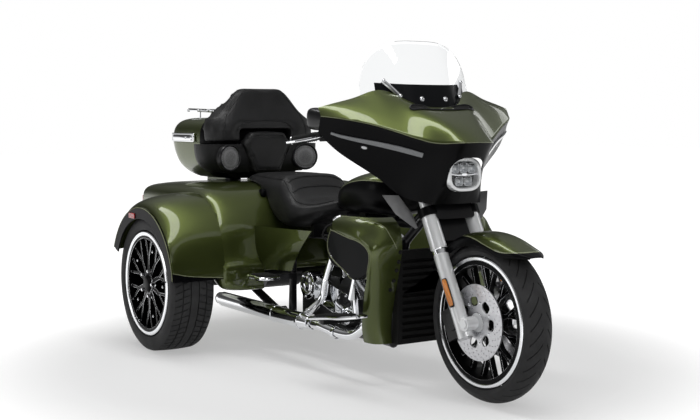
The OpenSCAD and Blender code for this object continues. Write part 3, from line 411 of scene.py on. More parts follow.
# Each finish: its maker, the material's name, a colour or the setting that holds it, then the maker's values
FINISH_ROWS = {
    "green": (paint, "green_paint", "green"),
    "fairing": (paint, "fairing_two_tone", "green", edge_over("Y", 0.9, 1.2, FAIRING_EDGE)),
    "tank": (paint, "tank_two_tone", "green", edge_over("X", 0.7, 0.9, TANK_EDGE)),
    "fender": (paint, "fender_two_tone", "green", edge_over("X", 0.5, 0.7, FENDER_EDGE)),
    "rear_fender": (paint, "rear_fender_two_tone", "green", edge_over("Y", 0.3, 0.5, REAR_FENDER_EDGE)),
    "box": (paint, "box_two_tone", "green", edge_behind(BOX_EDGE), FLAKE, False),
    "black": (paint, "black_paint", "black", None, 0.0),
    "stripe": (paint, "pinstripe", "stripe", None, 0.0),
    "glass_black": (paint, "black_glass", (0.006, 0.0065, 0.0075, 1.0), None, 0.0),
    "satin": (plastic, "black_satin", (0.008, 0.008, 0.009), 0.34, 700.0, 0.05, 0.15),
    "case": (plastic, "black_case", (0.009, 0.009, 0.0095), 0.42, 900.0, 0.16, 0.1),
    "moulded": (plastic, "moulded_black", (0.012, 0.012, 0.0125), 0.5, 1100.0, 0.25),
    "pad_rubber": (plastic, "rubber_pad", (0.014, 0.014, 0.014), 0.62, 600.0, 0.25),
    "tyre": (plastic, "tyre_rubber", (0.044, 0.044, 0.045), 0.66, 500.0, 0.3),
    "leather": (plastic, "leather_black", "leather", 0.46, 330.0, 0.32, 0.08),
    "thread": (plastic, "thread_black", (0.03, 0.03, 0.03), 0.7, 2000.0, 0.2),
    # Smoke: the pale grey is painted light, standing in for the white backdrop seen through the smoked deflectors
    "smoke": (plastic, "smoke_grey", (0.36, 0.36, 0.365), 0.3, 900.0, 0.05, 0.2),
    "mesh": (plastic, "speaker_cloth", (0.22, 0.22, 0.225), 0.6, 1500.0, 0.4),
    # Deep black plastic; also painted shade in the vent's fill, the speaker's hole dots and the keyhole
    "dark": (plastic, "deep_black", (0.004, 0.004, 0.004), 0.7, 400.0, 0.05),
    "chrome": (metal, "chrome_plate", (0.83, 0.84, 0.86), 0.03, 0.09),
    "dark_chrome": (metal, "dark_chrome", (0.30, 0.30, 0.31), 0.10, 0.18),
    "cast": (metal, "cast_alloy", (0.42, 0.43, 0.44), 0.34, 0.46, 12.0, 0.25),
    "mirror": (metal, "mirror_glass", (0.9, 0.9, 0.92), 0.01, 0.02),
    "machined": (brushed, "machined_alloy", (0.86, 0.87, 0.89), 0.20, (1.0, 30.0, 1.0)),
    "disc": (brushed, "brake_disc_steel", (0.62, 0.62, 0.64), 0.28, (1.0, 30.0, 1.0)),
    # Alloy: mostly pale diffuse colour, a painted reflection of the white studio on the fork legs, axle, hub trim
    # and headlamp rim
    "alloy": (bright, "polished_alloy", (0.94, 0.95, 0.96), 0.35, 8.0),
    "reflector": (bright, "lamp_reflector", (0.78, 0.80, 0.82), 0.5),
    "bulb": (bright, "lamp_bulb", (0.88, 0.90, 0.92), 0.1),
    "clear": (clear, "windshield_clear", (0.95, 0.96, 0.965)),
    "lens": (film, "lamp_lens", (0.9, 0.92, 0.94), 0.10),
    "led": (lens, "led_strip", (0.24, 0.25, 0.26, 1.0), 160.0),
    "amber": (lens, "amber_reflector", "amber", 190.0),
    "red": (lens, "red_lens", "red", 150.0),
}


def finish(name):
    """A finish by name, built on first use."""
    if name not in FINISHES:
        maker, label, base, *values = FINISH_ROWS[name]
        FINISHES[name] = maker(label, colour(base) if isinstance(base, str) else base, *values)
    return FINISHES[name]


# Mesh helpers


def merge(whole, part, index=0):
    """Moves the faces of one bmesh into another with a material number."""
    for face in part.faces:
        face.material_index = index
    mesh = bpy.data.meshes.new("part")
    part.to_mesh(mesh)
    part.free()
    whole.from_mesh(mesh)
    bpy.data.meshes.remove(mesh)


def piece(name, bm, finishes, body, stands_for=(), angle=35):
    """Makes the object of a finished bmesh, in place, riding on a body."""
    mesh = bpy.data.meshes.new(name)
    bm.to_mesh(mesh)
    bm.free()
    for each in finishes:
        mesh.materials.append(finish(each))
    mesh.shade_smooth()
    mesh.set_sharp_from_angle(angle=math.radians(angle))
    made = bpy.data.objects.new(name, mesh)
    bpy.context.scene.collection.objects.link(made)
    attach(made, body)
    if stands_for:
        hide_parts(*stands_for)
    return made


def body_with(node_name):
    for body, members in frame["record"]["behaviour"]["bodies"].items():
        if node_name in members:
            return body
    raise ValueError(f"no body holds {node_name}")


def cad_copy(node_name):
    """The node's triangles as one joined bmesh."""
    bm = bmesh.new()
    bm.from_mesh(frame["nodes"][node_name].data)
    bmesh.ops.remove_doubles(bm, verts=bm.verts, dist=2e-5)
    return bm


def stand_in(node_name, ending, bm, finishes, angle):
    """A piece that takes the place of one node, on the node's body."""
    return piece(node_name + ending, bm, finishes, body_with(node_name), (node_name,),
                 angle)


def flat_joined(bm):
    """Joins the triangles of flat faces."""
    bmesh.ops.dissolve_limit(bm, angle_limit=math.radians(1.5), use_dissolve_boundaries=False,
                             verts=bm.verts, edges=bm.edges, delimit={"NORMAL"})


def panel(node_name, finishes, levels=2, crease=36):
    """A curved panel: the node's own shape with its facets rounded out and its edges kept."""
    bm = cad_copy(node_name)
    bmesh.ops.dissolve_degenerate(bm, dist=2e-5, edges=bm.edges)
    bmesh.ops.join_triangles(bm, faces=bm.faces, angle_face_threshold=math.radians(30),
                             angle_shape_threshold=math.radians(60))
    keep = bm.edges.layers.float.new("crease_edge")
    for edge in bm.edges:
        if len(edge.link_faces) != 2 or edge.calc_face_angle(0.0) > math.radians(crease):
            edge[keep] = 1.0
    made = stand_in(node_name, "_skin", bm, finishes, crease)
    rounding = made.modifiers.new("Rounding", "SUBSURF")
    rounding.levels = rounding.render_levels = levels
    return made


def solid(node_name, finishes, bevel=None, segments=2, angle=32, inset=0.0):
    """A machined or cast solid: the node's own shape with rounded edges, drawn in by a running clearance."""
    bm = cad_copy(node_name)
    bm.normal_update()
    for vert in bm.verts:
        vert.co -= vert.normal * inset
    flat_joined(bm)
    made = stand_in(node_name, "_body", bm, finishes, angle)
    rounding = made.modifiers.new("Edges", "BEVEL")
    rounding.width = bevel or sizes().bevel
    rounding.segments = segments
    rounding.limit_method = "ANGLE"
    rounding.angle_limit = math.radians(angle)
    rounding.use_clamp_overlap = True
    return made


def spin(bm, geom, centre, axis, angle, steps, joined=False, copied=False):
    """Turns geometry round an axis, as a swept surface or as copies."""
    return bmesh.ops.spin(bm, geom=geom, cent=centre, axis=axis, dvec=(0, 0, 0), angle=angle, steps=steps,
                          use_merge=joined, use_normal_flip=False, use_duplicate=copied)


def lathe(profile, centre, axis, steps=48):
    """A turned shape from (radius, distance along the axis) pairs in metres."""
    bm = bmesh.new()
    axis = Vector(axis).normalized()
    out = axis.orthogonal().normalized()
    verts = [bm.verts.new(centre + out * r + axis * a) for r, a in profile]
    edges = [bm.edges.new(pair) for pair in zip(verts, verts[1:])]
    spin(bm, verts + edges, centre, axis, math.tau, steps, joined=True)
    bmesh.ops.remove_doubles(bm, verts=bm.verts, dist=1e-6)
    bmesh.ops.recalc_face_normals(bm, faces=bm.faces)
    return bm


def ring_bm(centre, axis, radius, wire, steps=48, sides=10):
    """A round wire bent into a circle."""
    turns = [i * math.tau / sides for i in range(sides + 1)]
    return lathe([(radius + wire * math.cos(t), wire * math.sin(t)) for t in turns], centre, axis, steps)


def tube(points, radius, sides=3, cyclic=False):
    """A round tube through the points, as a bmesh."""
    curve = bpy.data.curves.new("route", "CURVE")
    curve.dimensions = "3D"
    curve.bevel_depth = radius
    curve.bevel_resolution = sides
    curve.resolution_u = 8
    curve.use_fill_caps = True
    spline = curve.splines.new("BEZIER")
    spline.bezier_points.add(len(points) - 1)
    spline.use_cyclic_u = cyclic
    for knot, place in zip(spline.bezier_points, points):
        knot.co = place
        knot.handle_left_type = knot.handle_right_type = "AUTO"
    holder = bpy.data.objects.new("route", curve)
    bpy.context.scene.collection.objects.link(holder)
    bpy.context.view_layer.update()
    mesh = bpy.data.meshes.new_from_object(holder.evaluated_get(bpy.context.evaluated_depsgraph_get()))
    bm = bmesh.new()
    bm.from_mesh(mesh)
    bpy.data.objects.remove(holder)
    bpy.data.curves.remove(curve)
    bpy.data.meshes.remove(mesh)
    return bm


def brick(low, high, bevel=0.002, segments=2):
    """A block between two corners with rounded edges."""
    bm = bmesh.new()
    bmesh.ops.create_cube(bm, size=1.0)
    spread = Vector(high) - Vector(low)
    bmesh.ops.scale(bm, vec=spread, verts=bm.verts)
    bmesh.ops.translate(bm, vec=(Vector(high) + Vector(low)) / 2, verts=bm.verts)
    bmesh.ops.bevel(bm, geom=list(bm.edges), offset=bevel, segments=segments, profile=0.5, affect="EDGES",
                    material=-1, offset_type="OFFSET", clamp_overlap=True)
    return bm


def turned(bm, centre, axis, angle):
    bmesh.ops.rotate(bm, cent=centre, matrix=Matrix.Rotation(angle, 3, axis), verts=bm.verts)
    return bm


def placed(bm, matrix):
    bmesh.ops.transform(bm, matrix=matrix, verts=bm.verts)
    return bm


def bolt(place, axis, radius=0.007, height=0.006):
    """A domed bolt head on its washer."""
    r, h = radius, height
    return lathe([(0, h), (0.55 * r, 0.96 * h), (0.85 * r, 0.7 * h), (0.95 * r, 0.35 * h),
                  (0.95 * r, 0.2 * h), (1.25 * r, 0.2 * h), (1.25 * r, -0.3 * h)], Vector(place), axis, 14)


def band(place, axis, inner, outer, half, steps):
    """A clamp round a pipe, with its edges drawn in."""
    flat = half - 0.001
    return lathe([(inner, -half), (outer, -flat), (outer, flat), (inner, half)], place, axis, steps)


def bent(t, power):
    """A share from -1 to 1 raised to a power, with its sign kept."""
    return math.copysign(abs(t) ** power, t)


def oval(half_u, half_v, power, count=40):
    """An outline between an ellipse (2) and a rectangle (large power)."""
    turns = [math.tau * i / count for i in range(count)]
    return [(half_u * bent(math.cos(t), 2 / power), half_v * bent(math.sin(t), 2 / power)) for t in turns]


def oval_loft(rows, base, u, v, power, count=40, close_first=False, close_last=False):
    """Ovals of (half along u, half along v, distance along u x v), joined in order."""
    bm = bmesh.new()
    u, v = Vector(u).normalized(), Vector(v).normalized()
    w = u.cross(v)
    loops = []
    for half_u, half_v, far in rows:
        verts = [bm.verts.new(base + u * a + v * b + w * far) for a, b in oval(half_u, half_v, power, count)]
        loops.append([bm.edges.new((verts[i], verts[(i + 1) % count])) for i in range(count)])
        if (close_first and len(loops) == 1) or (close_last and len(loops) == len(rows)):
            bm.faces.new(verts)
    for first, second in zip(loops, loops[1:]):
        bmesh.ops.bridge_loops(bm, edges=first + second)
    bmesh.ops.recalc_face_normals(bm, faces=bm.faces)
    return bm


def boss(wall, top, base, u, v, power, count=40, close_first=False):
    """A low oval boss. wall: half along u, half along v, foot and height; top: its smaller closed end."""
    half_u, half_v, foot, height = wall
    rows = [(half_u, half_v, foot), (half_u, half_v, height), top]
    return oval_loft(rows, base, u, v, power, count, close_first, True)


def surface_of(made):
    """A search tree of the piece's final surface."""
    bpy.context.view_layer.update()
    graph = bpy.context.evaluated_depsgraph_get()
    mesh = made.evaluated_get(graph).to_mesh()
    verts = [v.co.copy() for v in mesh.vertices]
    return BVHTree.FromPolygons(verts, [tuple(p.vertices) for p in mesh.polygons])


def laid_on(tree, points, toward, lift):
    """The points moved along a direction on to a surface, lifted along its normal."""
    toward = Vector(toward).normalized()
    laid = []
    for p in points:
        spot, normal, _, _ = tree.ray_cast(Vector(p), toward)
        if spot is not None:
            laid.append(spot + (normal if normal.dot(toward) < 0 else -normal) * lift)
    return laid


def snapped(tree, points, lift):
    """The points moved to the nearest place on a surface, lifted along its normal."""
    found = [tree.find_nearest(Vector(p)) for p in points]
    return [spot + normal * lift for spot, normal, _, _ in found]


def spline_through(points, count):
    """Evenly spread points on a smooth line through the given ones."""
    found = []
    n = len(points) - 1
    for i in range(count):
        s = i / (count - 1) * n
        k = min(int(s), n - 1)
        t = s - k
        a, b, c, d = (Vector(points[min(max(k + j, 0), n)]) for j in (-1, 0, 1, 2))
        found.append(0.5 * (2 * b + (c - a) * t + (2 * a - 5 * b + 4 * c - d) * t ** 2
                            + (3 * b - a - 3 * c + d) * t ** 3))
    return found


def evaluated_bm(made):
    graph = bpy.context.evaluated_depsgraph_get()
    mesh = bpy.data.meshes.new_from_object(made.evaluated_get(graph))
    bm = bmesh.new()
    bm.from_mesh(mesh)
    bpy.data.meshes.remove(mesh)
    return bm


def drilled(bm, cutter):
    """One shape less another."""
    objects = []
    for name, shape in (("work", bm), ("drill", cutter)):
        mesh = bpy.data.meshes.new(name)
        shape.to_mesh(mesh)
        shape.free()
        objects.append(bpy.data.objects.new(name, mesh))
        bpy.context.scene.collection.objects.link(objects[-1])
    cut = objects[0].modifiers.new("Holes", "BOOLEAN")
    cut.operation = "DIFFERENCE"
    cut.solver = "EXACT"
    cut.object = objects[1]
    bpy.context.view_layer.update()
    result = evaluated_bm(objects[0])
    for made in objects:
        mesh = made.data
        bpy.data.objects.remove(made)
        bpy.data.meshes.remove(mesh)
    return result


class Maker:
    """Shared layout of the operators: each makes one piece or group of like pieces."""

    bl_options = {"REGISTER", "UNDO"}

    def execute(self, context):
        self.make()
        return {"FINISHED"}


# Body panels

PANELS = [("fairing", "fairing", 36), ("front_fender", "fender", 40), ("fuel_tank", "tank", 60),
          ("lower_fairings", "green", 40), ("rear_body", "green", 50), ("rear_fenders", "rear_fender", 40),
          ("side_panels", "green", 40), ("luggage_box", "box", 50), ("luggage_lid", "box", 50)]


class TRIKE_OT_panels(Maker, bpy.types.Operator):
    """Painted skins, the trunk door, the fender guards and the liners of the lower fairings"""

    bl_idname = "trike.panels"
    bl_label = "Body panels"

    def make(self):
        for node_name, finish_name, crease in PANELS:
            panel(node_name, [finish_name], 2, crease)
        solid("trunk_door", ["green"], 0.006, 3)
        solid("fender_guards", ["black"])
        solid("fairing_liners", ["glass_black"], 0.003)


# Wheels


def tyre(name, node_name, centre, profile, pitches, groove, cut, lean):
    """A tyre: one tread pitch is turned up from its profile, its groove sunk, then repeated round the wheel.

    profile: (distance from the middle, radius) rows in millimetres; groove: share of a pitch that is groove;
    cut: tests where across the tread the groove runs; lean: turn of the grooves per metre off the middle."""
    bm = bmesh.new()
    verts = [bm.verts.new(centre + Vector((0, y / 1000, r / 1000))) for y, r in profile]
    edges = [bm.edges.new(pair) for pair in zip(verts, verts[1:])]
    step = math.tau / pitches
    axis = Vector((0, 1, 0))
    blocks = spin(bm, verts + edges, centre, axis, step * (1 - groove), 3)
    sunk_from = set(bm.faces)
    spin(bm, blocks["geom_last"], centre, axis, step * groove, 1)
    bmesh.ops.recalc_face_normals(bm, faces=bm.faces)
    if sum(f.normal.dot(f.calc_center_median() - centre) for f in bm.faces) < 0:
        bmesh.ops.reverse_faces(bm, faces=bm.faces)
    sunk = [f for f in bm.faces
            if f not in sunk_from and cut(abs(f.calc_center_median().y - centre.y) * 1000)]
    bmesh.ops.inset_region(bm, faces=sunk, thickness=0.0006, depth=-sizes().tread_depth, use_boundary=True,
                           use_even_offset=True)
    spin(bm, bm.verts[:] + bm.edges[:] + bm.faces[:], centre, axis, math.tau - step, pitches - 1, copied=True)
    bmesh.ops.remove_doubles(bm, verts=bm.verts, dist=1e-5)
    for v in bm.verts:
        off = v.co - centre
        v.co = centre + Matrix.Rotation(lean * abs(off.y), 3, axis) @ off
    return piece(name, bm, ["tyre"], body_with(node_name), (node_name,), 30)


def tread_rows(half_width, crown, drop, grooves, width, depth):
    """Tread profile from one shoulder to the other, with grooves that run round the tyre."""
    rows = []
    for g in grooves:
        rows += [(g - width / 2, 0.0), (g - width / 2 + 1, depth),
                 (g + width / 2 - 1, depth), (g + width / 2, 0.0)]
    rows = [(-half_width, 0.0)] + rows + [(half_width, 0.0)]
    return [(y, crown - drop * (y / half_width) ** 2 - d) for y, d in rows]


# Side walls from bead to shoulder, in millimetres: distance from the middle, radius
REAR_WALL = [(-90, 251), (-101, 255), (-106, 268), (-107, 288), (-104, 305), (-95, 317)]
FRONT_WALL = [(-49, 259), (-59, 263), (-63.5, 270)]
FRONT_CROWN = 319
FRONT_ROUND = 72


def rear_grooved(y):
    """Whether the rear tyre's grooves run at a distance from its middle."""
    return 3 < y < 16 or 24 < y < 54 or 62 < y < 99


def front_grooved(y):
    """Whether the front tyre's grooves run at a distance from its middle."""
    return 14 < y < 52


def other_wall(wall):
    return [(-y, r) for y, r in reversed(wall)]


class TRIKE_OT_tyres(Maker, bpy.types.Operator):
    """Three tyres with their tread"""

    bl_idname = "trike.tyres"
    bl_label = "Tyres"

    def make(self):
        tread = tread_rows(84, 325, 3.5, [-58, -20, 20, 58], 7, sizes().tread_depth * 1000)
        profile = REAR_WALL + tread + other_wall(REAR_WALL)
        for word, centre in (("left", REAR_LEFT), ("right", REAR_RIGHT)):
            tyre("tyre_rear_" + word, "rear_tyre_" + word, centre, profile, 62, 0.16, rear_grooved, 1.1)
        turns = [math.radians(t) for t in range(-64, 65, 8)]
        arc = [(FRONT_ROUND * math.sin(t), FRONT_CROWN - FRONT_ROUND + FRONT_ROUND * math.cos(t))
               for t in turns]
        profile = FRONT_WALL + arc + other_wall(FRONT_WALL)
        tyre("tyre_front", "front_tyre", FRONT, profile, 34, 0.13, front_grooved, 5.0)


def rim(node_name, side):
    """A cast rim in gloss black whose face edges are machined bright."""
    bm = cad_copy(node_name)
    flat_joined(bm)
    bm.normal_update()
    shiny = [e for e in bm.edges if len(e.link_faces) == 2 and e.calc_face_angle(0.0) > math.radians(40)
             and any(side * f.normal.y > 0.9 or (side == 0 and abs(f.normal.y) > 0.9) for f in e.link_faces)]
    bmesh.ops.bevel(bm, geom=shiny, offset=0.0032, segments=2, profile=0.5, affect="EDGES", material=1,
                    offset_type="OFFSET", clamp_overlap=True)
    return stand_in(node_name, "_cast", bm, ["black", "machined"], 30)


def lip(name, body, centre, side, low, high, inner, outer):
    """The bright machined lip round a rim's face, between two radii and two depths."""
    bm = lathe([(low, inner), (low + 0.002, outer - 0.002), (low + 0.005, outer), (high - 0.004, outer),
                (high, outer - 0.003), (high, inner)], centre, (0, side, 0), 96)
    return piece(name, bm, ["machined"], body, (), 30)


# Turned shapes on the wheels, in metres: radius, distance along the axis
VALVE = [(0, 0.03), (0.004, 0.03), (0.004, 0), (0.006, -0.004)]
WHEEL_NUT = [(0, 0.018), (0.006, 0.018), (0.0085, 0.015), (0.0085, 0), (0.0125, -0.002)]
REAR_CAP = [(0, 0.104), (0.022, 0.104), (0.034, 0.101), (0.040, 0.096), (0.042, 0.09)]
FRONT_CAP = [(0.0135, 0.0672), (0.024, 0.0672), (0.038, 0.0665), (0.0398, 0.06)]


class TRIKE_OT_wheels(Maker, bpy.types.Operator):
    """Rims with machined edges, lips, hub caps, wheel bolts and valves"""

    bl_idname = "trike.wheels"
    bl_label = "Wheels"

    def make(self):
        rim("front_rim", 0)
        for side, body, centre in ((-1, "rear_wheel_right", REAR_RIGHT), (1, "rear_wheel_left", REAR_LEFT)):
            word = body.split("_")[-1]
            rim("rear_rim_" + word, side)
            lip("rear_lip_" + word, body, centre, side, 0.226, 0.2475, 0.096, 0.1045)
            out = (0, side, 0)
            bm = lathe(REAR_CAP, centre, out, 40)
            for i in range(5):
                spot = around(centre, 0.062, math.tau * i / 5, side * 0.087)
                merge(bm, lathe(WHEEL_NUT, spot, out, 6), 1)
                spoke_end = spot.lerp(centre, -1.6)
                merge(bm, bolt((spoke_end.x, centre.y + side * 0.0885, spoke_end.z), out, 0.005, 0.004), 1)
            merge(bm, lathe(VALVE, centre + Vector((0.214, side * 0.085, 0.03)), out, 10), 2)
            piece("hub_cap_" + word, bm, ["black", "chrome", "pad_rubber"], body)
        bm = bmesh.new()
        for side, word in zip(SIDES, ("right", "left")):
            merge(bm, lathe(FRONT_CAP, FRONT, (0, side, 0), 40))
            lip("front_lip_" + word, "front_wheel", FRONT, side, 0.2385, 0.2565, 0.050, 0.0583)
        merge(bm, lathe(VALVE, FRONT + Vector((0.12, -0.02, 0.182)), (-0.55, -0.2, -0.82), 10), 1)
        piece("front_hub_trim", bm, ["alloy", "pad_rubber"], "front_wheel")


def brake_disc(centre, side):
    """A brake disc with drilled holes and wide slots round its carrier."""
    inside, thick, radius = 0.0592, 0.0058, 0.1495
    bm = lathe([(0.041, inside), (0.041, inside + thick), (0.100, inside + thick), (radius, inside + thick),
                (radius, inside), (0.100, inside), (0.041, inside)], centre, (0, side, 0), 96)
    holes = bmesh.new()
    deep = [(0, -0.004), (0.0026, -0.004), (0.0026, 0.014), (0, 0.014)]
    for i in range(24):
        for row, r in enumerate((0.110, 0.122, 0.134, 0.143)):
            spot = around(centre, r, math.tau * (i + row * 0.37) / 24, side * inside)
            merge(holes, lathe(deep, spot, (0, side, 0), 8))
    for i in range(7):
        turn = math.tau * i / 7
        spot = around(centre, 0.083, turn, side * (inside - 0.003))
        out = Vector((math.cos(turn), 0, math.sin(turn)))
        across = Vector((0, side, 0)).cross(out)
        slot_shape = oval_loft([(0.0185, 0.0225, 0.0), (0.0185, 0.0225, 0.013)], spot, out, across, 3.0, 20,
                               True, True)
        if slot_shape.calc_volume(signed=True) < 0:
            bmesh.ops.reverse_faces(slot_shape, faces=slot_shape.faces)
        merge(holes, slot_shape)
    return drilled(bm, holes)


class TRIKE_OT_brakes(Maker, bpy.types.Operator):
    """Drilled discs, calipers and their bolts"""

    bl_idname = "trike.brakes"
    bl_label = "Brakes"

    def make(self):
        bm = bmesh.new()
        for side in SIDES:
            merge(bm, brake_disc(FRONT, side))
            for i in range(7):
                spot = around(FRONT, 0.080, math.tau * (i + 0.5) / 7, side * 0.065)
                merge(bm, bolt(spot, (0, side, 0), 0.006, 0.005), 1)
        piece("front_discs_drilled", bm, ["disc", "chrome"], "front_wheel", ("front_discs",), 30)
        solid("front_calipers", ["satin"], 0.006, 3)
        solid("rear_calipers", ["satin"], 0.005, 3)


# Fork and steering


def fork_spot(u, y, w):
    """A place seen along the steering axis: u ahead of it, w up along it from the ground, in millimetres."""
    base = Vector(JOINTS["steering"]["pos_m"])
    foot = base - STEER * (base.z / STEER.z)
    return foot + AHEAD * (u / 1000) + STEER * (w / 1000) + Vector((0, y / 1000, 0))


# Corners of the deflector beside each fork leg: distance off the middle, height along the steering axis
DEFLECTOR = [(272, 919), (192, 914), (150, 824), (146, 770), (160, 765), (234, 834)]
# Plates of the cowl: distance ahead of the steering axis, half width in metres, low and high edge
COWL = [(52, 0.096, 770, 880), (16, 0.074, 690, 796)]
# A brake hose: distance ahead of the steering axis, distance off the middle, height along the axis
HOSE = [(-30, 92, 800), (-24, 84, 700), (-22, 84, 560), (-40, 84, 470), (-58, 88, 400)]
COLLAR = [(0.0300, -0.020), (0.0316, -0.019), (0.0316, -0.003), (0.0300, -0.002)]


class TRIKE_OT_fork(Maker, bpy.types.Operator):
    """Fork legs, clamps, axle, amber reflectors, cowl, wind deflectors and brake hoses"""

    bl_idname = "trike.fork"
    bl_label = "Fork"

    def make(self):
        solid("fork_sliders", ["alloy"], 0.004, 3)
        solid("fork_tubes", ["alloy"])
        solid("fork_clamps", ["black"], 0.005, 3)
        solid("front_axle", ["alloy"])
        bm = bmesh.new()
        for side in SIDES:
            self.leg_trim(bm, side)
        piece("fork_trim", bm, ["chrome", "satin", "amber"], "fork")
        cowl = bmesh.new()
        for ahead_by, half, low, high in COWL:
            tall = (high - low) / 2000
            middle = fork_spot(ahead_by, 0, (low + high) / 2)
            merge(cowl, oval_loft([(half, tall, 0.0), (half, tall, 0.005)], middle, (0, 1, 0), STEER, 8.0, 40,
                                  True, True))
        piece("fork_cowl", cowl, ["satin"], "fork")
        wings = bmesh.new()
        for side in SIDES:
            flat = bmesh.new()
            blade = flat.faces.new([flat.verts.new(fork_spot(-20, side * y, w)) for y, w in DEFLECTOR])
            bmesh.ops.solidify(flat, geom=[blade], thickness=0.004)
            bmesh.ops.recalc_face_normals(flat, faces=flat.faces)
            bmesh.ops.bevel(flat, geom=flat.edges[:], offset=0.0012, segments=2, profile=0.5, affect="EDGES")
            merge(wings, flat)
        # The deflectors' pale grey is painted backlight, not only their own tint
        piece("wind_deflectors", wings, ["smoke"], "fork")
        hoses = bmesh.new()
        for side in SIDES:
            route = [fork_spot(u, side * y, w) for u, y, w in HOSE]
            merge(hoses, tube(route, 0.0045, 3))
            for clip in route[1:3]:
                merge(hoses, ring_bm(clip, STEER, 0.0048, 0.0016, 16, 6), 1)
        piece("brake_hoses", hoses, ["pad_rubber", "chrome"], "fork")

    def leg_trim(self, bm, side):
        """Collar, amber reflector and bolts of one leg."""
        spot = fork_spot(20, side * 105, 652)
        merge(bm, ring_bm(spot, STEER, 0.0315, 0.0025, 48, 8))
        merge(bm, lathe(COLLAR, spot, STEER))
        out = (AHEAD * 0.35 + Vector((0, side, 0)) * 0.94).normalized()
        face = fork_spot(20, side * 105, 470) + out * 0.0285
        across = STEER.cross(out)
        for wall, top, index in (((0.012, 0.060, 0.0, 0.005), (0.010, 0.058, 0.007), 1),
                                 ((0.0105, 0.055, 0.006, 0.009), (0.008, 0.0525, 0.011), 2)):
            merge(bm, boss(wall, top, face, across, STEER, 6.0, 32, True), index)
        for w in (315, 345):
            merge(bm, bolt(fork_spot(62, side * 131.5, w), (0, side, 0), 0.005, 0.005))
        merge(bm, bolt(fork_spot(45, side * 105, 560), AHEAD, 0.006, 0.004))


# Ends of the right grip, the way its lever stands off, and the face of the dash behind the front axle
GRIP_LOW = front(-700, -476, 1016)
GRIP_HIGH = front(-604, -406, 1036)
LEVER_OFF = Vector((0.60, -0.62, -0.10)).normalized()
DASH_FACE = -440.6
# Dials of one side: distance off the middle, height, radius in metres, finish number of the face
DIALS = [(148, 1108, 0.046, 1), (258, 1086, 0.056, 2)]


class TRIKE_OT_bars(Maker, bpy.types.Operator):
    """Handlebar, grips, levers, mirrors and the dash with its dials"""

    bl_idname = "trike.bars"
    bl_label = "Bars and dash"

    def make(self):
        panel("handlebar", ["satin"], 1, 50)
        panel("hand_controls", ["pad_rubber"], 1, 40)
        panel("mirrors", ["satin"], 2, 45)
        solid("dash", ["moulded"], 0.003)
        levers = bmesh.new()
        for side in SIDES:
            self.lever(levers, side)
        piece("hand_levers", levers, ["chrome", "satin", "pad_rubber"], "fork")
        glass = bmesh.new()
        for side in SIDES:
            merge(glass, boss((0.017, 0.029, 0.0, 0.0015), (0.015, 0.027, 0.002),
                              front(-604, side * 446, 1108), (0, -1, 0), UP, 3.0, 32, True))
        piece("mirror_glass", glass, ["mirror"], "fork")
        self.dials()

    def lever(self, bm, side):
        """Lever, perch, grip rings and grip end of one hand."""
        along = (GRIP_HIGH - GRIP_LOW).normalized()
        path = [end + along * a + LEVER_OFF * b for end, a, b in (
            (GRIP_HIGH, 0.034, 0.012), (GRIP_HIGH, 0.01, 0.045), (GRIP_HIGH, -0.03, 0.062),
            (GRIP_LOW, 0.03, 0.066), (GRIP_LOW, -0.012, 0.052))]
        merge(bm, tube(mirrored(path, side), 0.0062, 3))
        perch = [GRIP_HIGH + along * 0.045, GRIP_HIGH + along * 0.030 + LEVER_OFF * 0.022]
        merge(bm, tube(mirrored(perch, side), 0.013, 3), 1)
        rings = [GRIP_LOW.lerp(GRIP_HIGH, 0.02 + 0.075 * i) for i in range(12)]
        *rings, end, turn = mirrored(rings + [GRIP_LOW - along * 0.0065, along], side)
        for spot in rings:
            merge(bm, ring_bm(spot, turn, 0.0182, 0.0016, 24, 6), 2)
        merge(bm, lathe([(0, 0.004), (0.012, 0.003), (0.0175, 0), (0.0178, -0.006)], end, -turn, 24))

    def dials(self):
        """Dials with ticks and hands, the screen between them and the keys below it."""
        out = Vector((-1, 0, 0))
        across = (0, -1, 0)
        bm = bmesh.new()
        for side in SIDES:
            for y, z, r, face in DIALS:
                spot = front(DASH_FACE, side * y, z)
                merge(bm, lathe([(r * 0.86, 0.001), (r * 0.9, 0.006), (r * 0.97, 0.008), (r, 0.005),
                                 (r, -0.002)], spot, out, 40))
                merge(bm, lathe([(0, 0.0015), (r * 0.87, 0.0015)], spot, out, 40), face)
            dial = front(DASH_FACE, side * 148, 1108)
            half = Vector((0.0006, 0.0006, 0.003))
            for i in range(25):
                turn = math.radians(-130 + 260 * i / 24)
                mark = dial + Vector((-0.0022, 0.036 * math.sin(turn), 0.036 * math.cos(turn)))
                merge(bm, turned(brick(mark - half, mark + half, 0.0002, 1), mark, out, turn), 3)
            hand = [dial + Vector((-0.004, y, z)) for y, z in ((0, 0), (0.014, 0.016), (0.024, 0.027))]
            merge(bm, tube(hand, 0.0011, 2), 4)
        merge(bm, boss((0.092, 0.056, 0.0, 0.006), (0.088, 0.052, 0.008), front(DASH_FACE, 0, 1092), across,
                       UP, 12.0), 1)
        for y in range(-80, 81, 40):
            merge(bm, boss((0.014, 0.008, 0.0, 0.004), (0.012, 0.006, 0.006), front(DASH_FACE, y, 1014),
                           across, UP, 4.0, 20), 5)
        piece("dash_dials", bm, ["chrome", "glass_black", "mesh", "stripe", "amber", "pad_rubber"], "fork")


# Fairing lamps and windshield


# Headlamp, in metres: rim and its mouth as half width, half height and depth, and the five cups in it
BEZEL = [(0.0815, 0.0675, -0.070), (0.0815, 0.0675, -0.004), (0.0795, 0.0655, 0.0), (0.0700, 0.0560, 0.0),
         (0.0670, 0.0530, -0.004), (0.0650, 0.0510, -0.034)]
CUPS = [(-0.041, 0.025, 0.0185, 0.019), (0.0, 0.027, 0.0190, 0.020), (0.041, 0.025, 0.0185, 0.019),
        (-0.022, -0.027, 0.0195, 0.018), (0.022, -0.027, 0.0195, 0.018)]
BULB = [(0, -0.014), (0.006, -0.015), (0.0085, -0.020), (0.0085, -0.030)]


